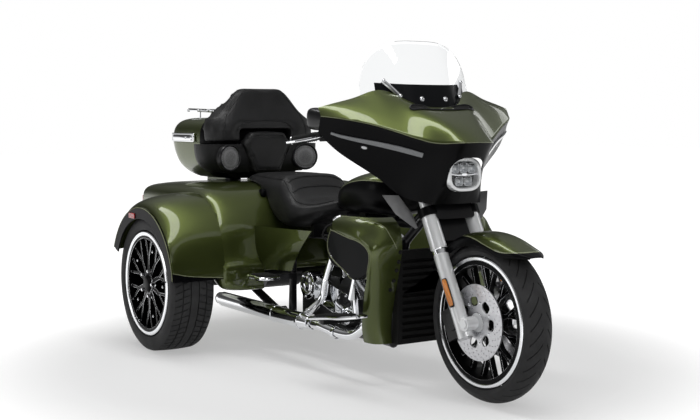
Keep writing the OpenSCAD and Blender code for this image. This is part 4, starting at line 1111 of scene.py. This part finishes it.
class TRIKE_OT_lamps(Maker, bpy.types.Operator):
    """Headlamp, light strips and red lamps"""

    bl_idname = "trike.lamps"
    bl_label = "Lamps"

    def make(self):
        base = front(-158, 0, 884)
        u = Vector((0, 1, 0))
        whole = bmesh.new()
        merge(whole, oval_loft(BEZEL, base, u, UP, 3.0, 64))
        back = oval_loft([(0.066, 0.052, -0.030), (0.062, 0.048, -0.034)], base, u, UP, 3.0, 48, False, True)
        merge(whole, back, 1)
        for y, z, half_u, half_v in CUPS:
            spot = base + Vector((0, y, z))
            cup = [(half_u, half_v, -0.012), (half_u * 0.94, half_v * 0.94, -0.012),
                   (half_u * 0.62, half_v * 0.66, -0.030)]
            merge(whole, oval_loft(cup, spot, u, UP, 5.0, 24, False, True), 2)
            merge(whole, lathe(BULB, spot, (1, 0, 0), 16), 3)
            merge(whole, brick(spot + Vector((-0.030, -half_u * 0.7, half_v * 0.62)),
                               spot + Vector((-0.0125, half_u * 0.7, half_v * 0.92)), 0.001, 1), 1)
        for side in SIDES:
            wing = [base + Vector((-0.012, side * y, z))
                    for y, z in ((0.006, -0.001), (0.034, -0.0005), (0.064, 0.003))]
            merge(whole, tube(wing, 0.0042, 3), 4)
        merge(whole, boss((0.018, 0.0075, -0.020, -0.010), (0.014, 0.005, -0.006), base, u, UP, 2.4, 32), 4)
        piece("headlamp_works", whole, ["alloy", "dark", "reflector", "bulb", "chrome"], "fork",
              ("headlamp",))
        glass = oval_loft([(0.0675, 0.0535, -0.005), (0.052, 0.041, -0.003), (0.03, 0.022, -0.002)], base, u,
                          UP, 3.0, 48, False, True)
        piece("headlamp_lens", glass, ["lens"], "fork")
        panel("signal_bars", ["led"], 1, 40)
        solid("red_lamps", ["red"], 0.003)


# Dark foot of the screen: a place on its upper edge, that edge's normal, and its half width in metres
FOOT_TOP = front(-420, 0, 1246)
FOOT_UP = Vector((0.10, 0, 1.0))
FOOT_HALF = 0.224


class TRIKE_OT_windshield(Maker, bpy.types.Operator):
    """Clear screen with its dark foot, brackets, screws and the vent below it"""

    bl_idname = "trike.windshield"
    bl_label = "Windshield"

    def make(self):
        made = panel("windshield", ["clear", "glass_black"], 2, 50)
        rounded = evaluated_bm(made)
        made.modifiers.clear()
        across = Vector((0, 1, 0))
        cuts = ((FOOT_TOP, FOOT_UP), (across * FOOT_HALF, across), (across * -FOOT_HALF, across))
        for spot, normal in cuts:
            whole = rounded.verts[:] + rounded.edges[:] + rounded.faces[:]
            bmesh.ops.bisect_plane(rounded, geom=whole, dist=1e-5, plane_co=spot, plane_no=normal)
        for face in rounded.faces:
            middle = face.calc_center_median()
            below = (middle - FOOT_TOP).dot(FOOT_UP) < 0
            face.material_index = 1 if below and abs(middle.y) < FOOT_HALF else 0
        rounded.to_mesh(made.data)
        rounded.free()
        made.data.shade_smooth()
        made.data.set_sharp_from_angle(angle=math.radians(45))
        self.brackets(surface_of(made))
        self.vent(surface_of(bpy.data.objects["fairing_skin"]))

    def brackets(self, screen):
        """Two chrome brackets on the screen with their screws, and two screws between them."""
        trim = bmesh.new()
        back = (-1, 0, 0)
        facing = (0.93, 0, 0.36)
        for side in SIDES:
            top, low = (laid_on(screen, [front(200, side * y, z)], back, 0.004)[0]
                        for y, z in ((196, 1258), (150, 1196)))
            merge(trim, tube([top, top.lerp(low, 0.5) + Vector((0.004, 0, 0)), low], 0.0105, 3))
            for spot in (top, low):
                merge(trim, bolt(spot + Vector((0.010, 0, 0.002)), facing, 0.0065, 0.005))
        for y in (-60, 60):
            for spot in laid_on(screen, [front(200, y, 1186)], back, 0.0):
                merge(trim, bolt(spot, facing, 0.009, 0.006))
        piece("screen_brackets", trim, ["chrome"], "fork")

    def vent(self, skin):
        """The opening in the fairing below the screen with its rim; its darkness is a deep black sheet of painted
        shade just inside the rim.
        """
        turns = [math.tau * i / 44 for i in range(44)]
        ring = [front(-315 + 21 * bent(math.sin(t), 0.7), 158 * bent(math.cos(t), 0.8), 1400) for t in turns]
        rim_line = laid_on(skin, ring, (0, 0, -1), 0.002)
        bm = bmesh.new()
        merge(bm, tube(rim_line, 0.0034, 2, True))
        # Painted shade: a flat deep black sheet fills the opening just below the rim
        hole_shade = bmesh.new()
        loop = [hole_shade.verts.new(p - Vector((0, 0, 0.0006))) for p in rim_line]
        edges = [hole_shade.edges.new((loop[i], loop[(i + 1) % len(loop)])) for i in range(len(loop))]
        bmesh.ops.triangle_fill(hole_shade, use_beauty=True, edges=edges)
        bmesh.ops.recalc_face_normals(hole_shade, faces=hole_shade.faces)
        merge(bm, hole_shade, 1)
        piece("fairing_vent", bm, ["satin", "dark"], "fork")


# Engine and running gear


CRANK = front(-820, 0, 268)
RIGHT_COVER = CRANK + Vector((0, -0.1515, 0))
AIR_CLEANER = front(-820, -188.5, 540)
# Turned caps, in metres: radius, distance along the axis
COVER_CAP = [(0, 0.006), (0.026, 0.005), (0.032, 0.002), (0.040, 0.004), (0.044, 0.0)]
CLEANER_CAP = [(0, 0.004), (0.045, 0.004), (0.052, 0.001), (0.060, 0.003), (0.066, 0.0)]
MUFFLER_TIP = [(0.022, 0.0), (0.029, 0.0), (0.030, 0.004), (0.026, 0.006), (0.021, 0.004), (0.0205, -0.03),
               (0, -0.03)]
# Route of the rear header, and the x of the bands on the right and left muffler
HEADER = [(-915, -150, 484), (-948, -164, 380), (-967, -176, 296), (-985, -230, 240), (-1000, -262, 214)]
MUFFLER_BANDS = [(-1, (-971, -1205)), (1, (-1226, -1340))]


class TRIKE_OT_engine(Maker, bpy.types.Operator):
    """Engine castings, chrome covers, bolts, plug leads and the exhaust"""

    bl_idname = "trike.engine"
    bl_label = "Engine"

    def make(self):
        solid("engine_case", ["case"], 0.006, 3)
        solid("cylinders", ["case"], 0.0015, 1)
        solid("rocker_covers", ["chrome"], 0.010, 4)
        solid("pushrod_tubes", ["chrome"], 0.001, 1)
        solid("engine_covers", ["chrome"], 0.007, 4)
        solid("air_cleaner", ["case"], 0.010, 4)
        panel("exhaust_pipes", ["chrome"], 1, 60)
        solid("mufflers", ["chrome"], 0.003, 3)
        bm = bmesh.new()
        right = (0, -1, 0)
        for spot, reach in ((RIGHT_COVER, 0.062), (RIGHT_COVER + Vector((-0.290, -0.014, 0.072)), 0.054)):
            for i in range(6):
                merge(bm, bolt(around(spot, reach, math.tau * (i + 0.25) / 6), right, 0.005, 0.005))
        merge(bm, lathe(COVER_CAP, RIGHT_COVER + Vector((-0.290, -0.0145, 0.072)), right, 48))
        merge(bm, lathe(CLEANER_CAP, AIR_CLEANER, right, 48), 1)
        merge(bm, ring_bm(AIR_CLEANER + Vector((0, 0.03, 0)), (0, 1, 0), 0.0845, 0.0022, 64, 8))
        for i in range(5):
            merge(bm, bolt(around(AIR_CLEANER, 0.056, math.tau * (i + 0.1) / 5, -0.002), right, 0.004, 0.004))
        for lean in SIDES:
            self.cylinder_trim(bm, lean)
        piece("engine_trim", bm, ["chrome", "dark_chrome", "pad_rubber"], "chassis")
        self.exhaust()

    def cylinder_trim(self, bm, lean):
        """Head bolts, push-rod collars and plug lead of one cylinder."""
        tilt = Matrix.Rotation(lean * math.radians(22.5), 3, "Y")
        along = tilt @ UP
        for y in (-96, 17):
            for x in (-46, 46):
                merge(bm, bolt(CRANK + tilt @ Vector((x / 1000, y / 1000, 0.3665)), along, 0.006, 0.006))
        for x in (-21, 21):
            for h in (150, 214, 266):
                spot = CRANK + tilt @ Vector((x / 1000, -0.092, h / 1000))
                merge(bm, band(spot, along, 0.009, 0.0125, 0.006, 20))
        plug = CRANK + tilt @ Vector((lean * 0.030, -0.106, 0.302))
        lead = [plug, plug + Vector((0, -0.030, 0.01)), plug + Vector((-0.02, -0.05, 0.06)),
                front(-820 + lean * 40, -60, 652)]
        merge(bm, tube(lead, 0.004, 3), 2)

    def exhaust(self):
        """Clamps, muffler tips and bands, and the rear header's shield."""
        bm = bmesh.new()
        for x, y, z in ((-884, -276, 205), (-700, -268, 192)):
            merge(bm, band(front(x, y, z), (1, 0, 0), 0.0245, 0.0275, 0.009, 32))
        for side, bands in MUFFLER_BANDS:
            tip = Vector((REAR_LEFT.x - 0.1009, side * 0.276, 0.205))
            merge(bm, lathe(MUFFLER_TIP, tip, (-1, 0, 0), 32), 1)
            for x in bands:
                merge(bm, band(front(x, side * 276, 205), (1, 0, 0), 0.037, 0.0395, 0.008, 40))
        header = [front(*row) for row in HEADER]
        merge(bm, tube(header, 0.0175, 5))
        for i, r in ((1, 0.0185), (3, 0.020)):
            along = (header[i + 1] - header[i - 1]).normalized()
            merge(bm, band(header[i], along, 0.0172, r, 0.006, 32))
        piece("exhaust_trim", bm, ["chrome", "dark_chrome"], "chassis")


# Boards in millimetres: x of the back and front edges, inner and outer y, height of the top, tilt in degrees
BOARDS = [(-645, -350, 337, 428, 284, 8), (-1250, -1110, 305, 392, 390, 0)]


def board_place(board):
    """From a board's own coordinates (x from its back edge, z from its top) to the frame."""
    return Matrix.Translation(front(board[0], 0, board[4])) @ Matrix.Rotation(math.radians(-board[5]), 4, "Y")


class TRIKE_OT_running_gear(Maker, bpy.types.Operator):
    """Frame, rear axle, radiator, boards and pedals"""

    bl_idname = "trike.running_gear"
    bl_label = "Running gear"

    def make(self):
        solid("frame", ["satin"], segments=1)
        solid("rear_axle", ["satin"], 0.003, inset=0.0003)
        solid("radiator", ["dark"], 0.003)
        solid("plate_bracket", ["satin"], 0.0012, 1)
        solid("footboards", ["satin"], 0.004, 3)
        solid("foot_controls", ["chrome"], 0.004, 3)
        core = bmesh.new()
        face = front(-395 + 21.5, 0, 0).x
        for i in range(58):
            y = (-160 + 320 * i / 57) / 1000
            merge(core, brick((face - 0.004, y - 0.0008, 0.205), (face, y + 0.0008, 0.552), 0.0003, 1))
        piece("radiator_core", core, ["cast"], "chassis")
        pads = bmesh.new()
        for board in BOARDS:
            place = board_place(board)
            long, y0, y1 = (board[1] - board[0]) / 1000, board[2] / 1000, board[3] / 1000
            for side in SIDES:
                low, high = sorted((side * (y0 + 0.006), side * (y1 - 0.006)))
                merge(pads, placed(brick((0.006, low, 0.0), (long - 0.006, high, 0.004), 0.0018, 2), place))
                for i in range(9):
                    y = low + (high - low) * (i + 0.5) / 9
                    rib = brick((0.018, y - 0.0022, 0.003), (long - 0.018, y + 0.0022, 0.0075), 0.0012, 1)
                    merge(pads, placed(rib, place))
                rail = [place @ Vector((x, side * y, -0.005)) for x, y in (
                    (-0.001, y0 + 0.008), (-0.003, y1 + 0.003), (long / 2, y1 + 0.005),
                    (long + 0.003, y1 + 0.003), (long + 0.001, y0 + 0.008))]
                merge(pads, tube(rail, 0.0072, 3), 1)
        lean = Matrix.Translation((0.283, 0, 0.066)) @ Matrix.Rotation(math.radians(28), 4, "Y")
        for i in range(6):
            z = 0.010 + 0.013 * i
            rib = brick((-0.0105, -0.407, z), (-0.006, -0.357, z + 0.006), 0.001, 1)
            merge(pads, placed(rib, board_place(BOARDS[0]) @ lean))
        piece("board_pads", pads, ["pad_rubber", "chrome"], "chassis")


# Luggage, speakers and seats


# Speakers, in metres: turned rim and dome as radius and distance along the axis, and the turn inward
SPEAKER_RIM = [(0.0585, -0.002), (0.0585, 0.004), (0.062, 0.007), (0.067, 0.006), (0.0695, 0.001),
               (0.0695, -0.012)]
SPEAKER_DOME = [(0, 0.008), (0.02, 0.0075), (0.04, 0.0055), (0.0588, 0.001)]
SPEAKER_TURN = math.radians(14)


class TRIKE_OT_luggage(Maker, bpy.types.Operator):
    """Luggage rack, latch, speakers and the trunk door's handle"""

    bl_idname = "trike.luggage"
    bl_label = "Luggage"

    def make(self):
        solid("luggage_rack", ["chrome"], 0.001, 1)
        solid("lid_latch", ["chrome"], 0.004, 3)
        panel("speakers", ["moulded"], 1, 32)
        bm = bmesh.new()
        for side in SIDES:
            self.speaker(bm, side)
        piece("speaker_grilles", bm, ["satin", "mesh", "dark"], "chassis")
        lock = bmesh.new()
        face = rear(-460, -312.2, 1007)
        merge(lock, boss((0.108, 0.015, 0.0, 0.003), (0.104, 0.012, 0.005), face, (1, 0, 0), UP, 8.0))
        merge(lock, lathe([(0, 0.0085), (0.0055, 0.0085), (0.0065, 0.0075), (0.0065, 0.004)],
                          face + Vector((0.05, 0, -0.001)), (0, -1, 0), 20))
        # The keyhole is a dark sliver: painted shade
        merge(lock, brick(face + Vector((0.049, -0.0092, -0.0045)), face + Vector((0.051, -0.0082, 0.0025)),
                          0.0003, 1), 1)
        piece("latch_trim", lock, ["chrome", "dark"], "lid")
        handle = bmesh.new()
        low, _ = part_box("trunk_door")
        face = Vector((low.x, 0, 0.690))
        merge(handle, boss((0.075, 0.018, 0.0, 0.006), (0.070, 0.014, 0.008), face, (0, -1, 0), UP, 5.0))
        merge(handle, lathe([(0, 0.010), (0.008, 0.010), (0.0095, 0.008), (0.0095, 0.0)], face, (-1, 0, 0),
                            24))
        piece("door_handle", handle, ["chrome"], "door")

    def speaker(self, bm, side):
        """Rim and dome of one speaker, with dark dots on the dome that are painted shade in its holes."""
        out = Vector((math.cos(SPEAKER_TURN), -side * math.sin(SPEAKER_TURN), 0))
        spot = rear(-112, side * 222, 908) + out * 0.0122
        merge(bm, lathe(SPEAKER_RIM, spot, out, 64))
        merge(bm, lathe(SPEAKER_DOME, spot, out, 48), 1)
        across = UP.cross(out).normalized()
        for row in range(-9, 10):
            for col in range(-9, 10):
                a, b = (col + 0.5 * (row % 2)) * 0.0060, row * 0.0053
                far = math.hypot(a, b)
                if far < 0.054:
                    lift = 0.008 - 0.007 * (far / 0.0588) ** 2 + 0.0003
                    hole_shade = spot + across * a + UP * b + out * lift
                    # Each hole is a flat dark dot: painted shade, not an opening
                    merge(bm, lathe([(0, 0.0002), (0.0019, 0)], hole_shade, out, 6), 2)


def swell(made, start, cap, pressure, steps=20):
    """Blows the piece up a little with cloth under pressure, and holds each point within cap of its start."""
    scene = bpy.context.scene
    cloth = made.modifiers.new("Cloth", "CLOTH")
    cloth.settings.quality = 5
    cloth.settings.mass = 0.3
    cloth.settings.tension_stiffness = cloth.settings.compression_stiffness = 25
    cloth.settings.bending_stiffness = 4
    cloth.settings.use_pressure = True
    cloth.settings.uniform_pressure_force = pressure
    cloth.settings.effector_weights.gravity = 0.0
    cloth.point_cache.frame_start, cloth.point_cache.frame_end = 1, steps
    for step in range(1, steps + 1):
        scene.frame_set(step)
    graph = bpy.context.evaluated_depsgraph_get()
    swollen = made.evaluated_get(graph).to_mesh()
    spots = [v.co.copy() for v in swollen.vertices]
    made.modifiers.remove(cloth)
    scene.frame_set(1)
    for v, spot in zip(made.data.vertices, spots):
        move = spot - start[v.index]
        v.co = start[v.index] + (move if move.length < cap else move.normalized() * cap)
    made.data.update()


def cushion(name, node_name, voxel, sink, cap, pressure):
    """A leather cushion: the node's shape, remeshed, drawn in a little and swollen with pressure."""
    bm = cad_copy(node_name)
    made = piece(name, bm, ["leather"], body_with(node_name), (node_name,), 80)
    again = made.modifiers.new("Remesh", "REMESH")
    again.mode = "VOXEL"
    again.voxel_size = voxel
    bpy.context.view_layer.update()
    bm = evaluated_bm(made)
    made.modifiers.clear()
    for _ in range(3):
        bmesh.ops.smooth_vert(bm, verts=bm.verts, factor=0.5, use_axis_x=True, use_axis_y=True,
                              use_axis_z=True)
    bm.normal_update()
    for v in bm.verts:
        v.co -= v.normal * sink
    bm.to_mesh(made.data)
    bm.free()
    start = [v.co.copy() for v in made.data.vertices]
    swell(made, start, cap, pressure)
    made.data.shade_smooth()
    fine = made.modifiers.new("Fine", "SUBSURF")
    fine.levels = fine.render_levels = 1
    return made


def seam(bm, tree, points, toward, count):
    """Piping on a cushion with a row of stitches on each side."""
    line = laid_on(tree, spline_through(points, count), toward, 0.0008)
    if len(line) < 4:
        return
    merge(bm, tube(line, 0.0024, 2), 0)
    length, stitch = 0.0, sizes().stitch
    for a, b in zip(line, line[1:]):
        step = (b - a).length
        length += step
        if length > stitch * 1.5 and step > 1e-5:
            length = 0.0
            along = (b - a).normalized()
            _, normal, _, _ = tree.find_nearest(a)
            across = along.cross(normal).normalized()
            for off in (-0.007, 0.007):
                spot = a + across * off
                near, out, _, _ = tree.find_nearest(spot)
                if near is not None:
                    half = along * stitch * 0.5
                    merge(bm, tube([near - half, near + out * 0.0009, near + half], 0.0007, 1), 1)


# Seams: on the seat x and distance off the middle, on the back pad and backrest y and height
SEAT_EDGE = [(-1035, 66), (-1075, 108), (-1135, 142), (-1205, 158), (-1270, 160), (-1330, 158), (-1420, 158),
             (-1560, 152), (-1650, 140)]
PAD_RING = [(-62, 846), (62, 846), (120, 972), (84, 1022), (-84, 1022), (-120, 972), (-62, 846)]
REST_ARCH = [(-165, 1046), (-128, 1080), (-80, 1092), (0, 1096), (80, 1092), (128, 1080), (165, 1046)]
REST_WING = [(118, 1236), (170, 1176), (214, 1122), (236, 1060), (238, 1004)]


class TRIKE_OT_seats(Maker, bpy.types.Operator):
    """Seat, passenger back pad and backrest as stuffed leather with seams"""

    bl_idname = "trike.seats"
    bl_label = "Seats"

    def make(self):
        seat = cushion("seat_cushion", "seat", 0.010, 0.003, 0.006, 3.0)
        pad = cushion("back_pad_cushion", "back_pad", 0.008, 0.003, 0.006, 4.0)
        rest = cushion("backrest_cushion", "backrest", 0.010, 0.003, 0.007, 4.0)
        finishes = ["leather", "thread"]
        down, back = (0, 0, -1), (-1, 0, 0)
        bm = bmesh.new()
        tree = surface_of(seat)
        for side in SIDES:
            seam(bm, tree, [front(x, side * y, 1000) for x, y in SEAT_EDGE], down, 90)
        for x, half in ((-1322, 150), (-1275, 152)):
            line = ((-half, 14), (-half / 2, 3), (0, 0), (half / 2, 3), (half, 14))
            seam(bm, tree, [front(x + bend, y, 1000) for y, bend in line], down, 40)
        piece("seat_seams", bm, finishes, "chassis")
        bm = bmesh.new()
        tree = surface_of(pad)
        ring = [rear(200, y, z) for y, z in PAD_RING]
        for a, b in zip(ring, ring[1:]):
            seam(bm, tree, [a, b], back, 16)
        piece("back_pad_seams", bm, finishes, "chassis")
        bm = bmesh.new()
        tree = surface_of(rest)
        seam(bm, tree, [rear(200, y, z) for y, z in REST_ARCH], back, 50)
        for side in SIDES:
            seam(bm, tree, [rear(200, side * y, z) for y, z in REST_WING], back, 40)
        piece("backrest_seams", bm, finishes, "lid")


# Trim

# Lines and places on the lower fairings, in millimetres from the front axle
POCKET_RIM = [(-680, 307, 636), (-640, 330, 641), (-590, 345, 641), (-500, 343, 624), (-400, 337, 606),
              (-362, 330, 576), (-358, 328, 556), (-378, 322, 500), (-398, 315, 456), (-430, 309, 450),
              (-457, 307, 455), (-516, 307, 447), (-569, 307, 474), (-654, 307, 511), (-695, 307, 541),
              (-704, 307, 580)]
LOWER_EDGE = [(-600, 312, 702), (-540, 310, 702), (-460, 303, 700), (-399, 286, 691), (-357, 256, 673),
              (-334, 238, 633), (-329, 212, 584)]
LOWER_BAR = [(-618, 330, 684), (-606, 320, 695), (-588, 311, 702)]
RUBBER_STOPS = [(-331, 194, 570), (-338, 197, 530), (-346, 201, 494), (-359, 207, 452), (-371, 216, 414)]
KNOB = [(0, 0.017), (0.016, 0.017), (0.0205, 0.014), (0.022, 0.008), (0.022, -0.006)]
# Stripe round the rear fender's opening, in metres
ARCH_RADIUS = 0.3606
ARCH_OUT = 0.7485


class TRIKE_OT_trim(Maker, bpy.types.Operator):
    """Pinstripes, small lamps, the seat knob and the rubber stops of the lower fairings"""

    bl_idname = "trike.trim"
    bl_label = "Trim"

    def make(self):
        lower = surface_of(bpy.data.objects["lower_fairings_skin"])
        stripes = bmesh.new()
        for side in SIDES:
            rim_line, edge, bar, stops = ([front(x, side * y, z) for x, y, z in rows]
                                          for rows in (POCKET_RIM, LOWER_EDGE, LOWER_BAR, RUBBER_STOPS))
            merge(stripes, tube(rim_line, 0.0021, 2, True))
            merge(stripes, tube(snapped(lower, spline_through(edge, 40), 0.0004), 0.0016, 2))
            turns = [math.radians(8 + 148 * i / 48) for i in range(49)]
            arch = [around(REAR_LEFT, ARCH_RADIUS, t) for t in turns]
            merge(stripes, tube([Vector((p.x, side * ARCH_OUT, p.z)) for p in arch], 0.0018, 2))
            merge(stripes, tube(snapped(lower, spline_through(bar, 8), 0.003), 0.005, 3), 1)
            for spot in snapped(lower, stops, 0.0):
                merge(stripes, bolt(spot, (1, 0, 0), 0.007, 0.009), 2)
            merge(stripes, lathe(KNOB, front(-1480, side * 190, 747), (0, side, 0), 32), 3)
        piece("body_trim", stripes, ["stripe", "chrome", "pad_rubber", "black"], "chassis")
        skin = surface_of(bpy.data.objects["fairing_skin"])
        lamps = bmesh.new()
        for side in SIDES:
            spot = snapped(skin, [front(-373, side * 342, 990)], 0.0)[0]
            out = Vector((0.68, side * 0.59, -0.43)).normalized()
            along = Vector((32, -side * 41, -12)).normalized()
            across = out.cross(along)
            merge(lamps, boss((0.0155, 0.0085, -0.004, 0.003), (0.0135, 0.007, 0.004), spot, along, across,
                              2.2, 24))
            merge(lamps, oval_loft([(0.0130, 0.0066, 0.002), (0.0110, 0.0055, 0.0055)], spot, along, across,
                                   2.2, 24, False, True), 1)
        piece("wing_lamps", lamps, ["satin", "bulb"], "fork")


# Stage

# Area lights: name, place, size, power, and the place each faces
LIGHTS = [("top_strip", (0.1, -0.5, 3.1), (4.2, 0.5), 46, (0, -0.1, 0.5)),
          ("front_softbox", (4.4, -1.4, 2.4), (1.6, 1.6), 22, (0.4, 0, 0.7)),
          ("side_softbox", (-1.0, -4.2, 1.9), (2.2, 1.4), 20, (-0.5, 0, 0.6)),
          ("far_softbox", (0.2, 4.0, 2.6), (4.0, 0.8), 14, (0, 0, 0.6))]
# The camera fitted to the wheels: place, degrees that it looks down, and its heading
EYE = (4.53, -2.93, 1.11)
EYE_DOWN = 4.49
EYE_HEADING = 57.0
# What polished surfaces mirror, from the horizon up: height, brightness
MIRRORED = [(0.06, 0.14), (0.22, 0.05), (0.40, 0.12)]


class TRIKE_OT_stage(Maker, bpy.types.Operator):
    """Pale floor, soft studio light and the camera"""

    bl_idname = "trike.stage"
    bl_label = "Stage"

    def make(self):
        scene = bpy.context.scene
        bm = bmesh.new()
        bmesh.ops.create_grid(bm, x_segments=1, y_segments=1, size=30.0)
        mesh = bpy.data.meshes.new("floor")
        bm.to_mesh(mesh)
        bm.free()
        floor = bpy.data.objects.new("floor", mesh)
        made, tree, bsdf = material("floor_white", Base_Color=(0.55, 0.55, 0.55, 1.0), Roughness=1.0,
                                    Specular_Ior_Level=0.0, Emission_Color=(1.0, 1.0, 1.0, 1.0))
        far = node(tree, "ShaderNodeVectorMath", operation="LENGTH", inputs={0: object_place(tree)})
        glow = node(tree, "ShaderNodeMapRange", interpolation_type="SMOOTHSTEP", inputs={
            "Value": far.outputs["Value"], "From Min": 1.1, "From Max": 2.3, "To Min": 0.40, "To Max": 1.0})
        path = node(tree, "ShaderNodeLightPath").outputs
        seen = math_node(tree, "MAXIMUM", path["Is Camera Ray"], path["Is Glossy Ray"])
        seen = math_node(tree, "MAXIMUM", seen, path["Is Transmission Ray"])
        shown = math_node(tree, "MULTIPLY", glow.outputs["Result"], seen)
        tree.links.new(shown, bsdf.inputs["Emission Strength"])
        floor.data.materials.append(made)
        scene.collection.objects.link(floor)
        self.world(scene)
        for name, place, size, power, toward in LIGHTS:
            lamp = bpy.data.lights.new(name, "AREA")
            lamp.shape = "RECTANGLE"
            lamp.size, lamp.size_y = size
            lamp.energy = power
            holder = bpy.data.objects.new(name, lamp)
            holder.location = place
            holder.rotation_euler = (Vector(toward) - Vector(place)).to_track_quat("-Z", "Y").to_euler()
            scene.collection.objects.link(holder)
        view = bpy.data.cameras.new("camera")
        view.lens = sizes().lens
        view.sensor_width = 36.0
        eye = bpy.data.objects.new("camera", view)
        eye.location = EYE
        eye.rotation_euler = (math.radians(90 - EYE_DOWN), 0.0, math.radians(EYE_HEADING))
        scene.collection.objects.link(eye)
        scene.camera = eye
        scene.view_settings.view_transform = "Standard"

    def world(self, scene):
        """White for what the camera, metal and glass see, softer for what lights the object."""
        sky = bpy.data.worlds.new("studio")
        sky.use_nodes = True
        tree = sky.node_tree
        shown = tree.nodes["Background"]
        shown.inputs["Color"].default_value = (1, 1, 1, 1)
        lit = node(tree, "ShaderNodeBackground", inputs={"Color": (1, 1, 1, 1), "Strength": 0.28})
        path = node(tree, "ShaderNodeLightPath").outputs
        seen = math_node(tree, "MAXIMUM", path["Is Camera Ray"], path["Is Transmission Ray"])
        place = node(tree, "ShaderNodeTexCoord").outputs["Generated"]
        split = node(tree, "ShaderNodeSeparateXYZ", inputs={0: place})
        ramp = node(tree, "ShaderNodeValToRGB", inputs={0: split.outputs["Z"]})
        steps = ramp.color_ramp.elements
        steps[0].position, steps[0].color = 0.0, (0.75, 0.75, 0.75, 1)
        steps[1].position, steps[1].color = 0.75, (0.40, 0.40, 0.40, 1)
        for spot, level in MIRRORED:
            steps.new(spot).color = (level, level, level, 1)
        glossy = node(tree, "ShaderNodeBackground", inputs={"Color": ramp.outputs[0], "Strength": 1.0})
        first = node(tree, "ShaderNodeMixShader",
                     inputs={0: path["Is Glossy Ray"], 1: lit.outputs[0], 2: glossy.outputs[0]})
        last = node(tree, "ShaderNodeMixShader", inputs={0: seen, 1: first.outputs[0], 2: shown.outputs[0]})
        tree.links.new(last.outputs[0], tree.nodes["World Output"].inputs["Surface"])
        scene.world = sky


class TRIKE_PT_panel(bpy.types.Panel):
    """Lists the trike's pieces"""

    bl_label = "Trike"
    bl_idname = "TRIKE_PT_panel"
    bl_space_type = "VIEW_3D"
    bl_region_type = "UI"
    bl_category = "Trike"

    def draw(self, context):
        for group in (context.scene.trike_colours, context.scene.trike_sizes):
            for name in group.bl_rna.properties.keys():
                if name not in ("rna_type", "name"):
                    self.layout.prop(group, name)
        for each in MAKERS:
            self.layout.operator(each.bl_idname)


MAKERS = (TRIKE_OT_panels, TRIKE_OT_tyres, TRIKE_OT_wheels, TRIKE_OT_brakes, TRIKE_OT_fork, TRIKE_OT_bars,
          TRIKE_OT_lamps, TRIKE_OT_windshield, TRIKE_OT_engine, TRIKE_OT_running_gear, TRIKE_OT_luggage,
          TRIKE_OT_seats, TRIKE_OT_trim, TRIKE_OT_stage)
CLASSES = (TrikeColours, TrikeSizes, *MAKERS, TRIKE_PT_panel)


def register():
    for each in CLASSES:
        bpy.utils.register_class(each)
    bpy.types.Scene.trike_colours = bpy.props.PointerProperty(type=TrikeColours)
    bpy.types.Scene.trike_sizes = bpy.props.PointerProperty(type=TrikeSizes)


def unregister():
    del bpy.types.Scene.trike_sizes
    del bpy.types.Scene.trike_colours
    for each in reversed(CLASSES):
        bpy.utils.unregister_class(each)


def main():
    register()
    for each in MAKERS:
        group, name = each.bl_idname.split(".")
        getattr(getattr(bpy.ops, group), name)()


if __name__ == "__main__":
    main()
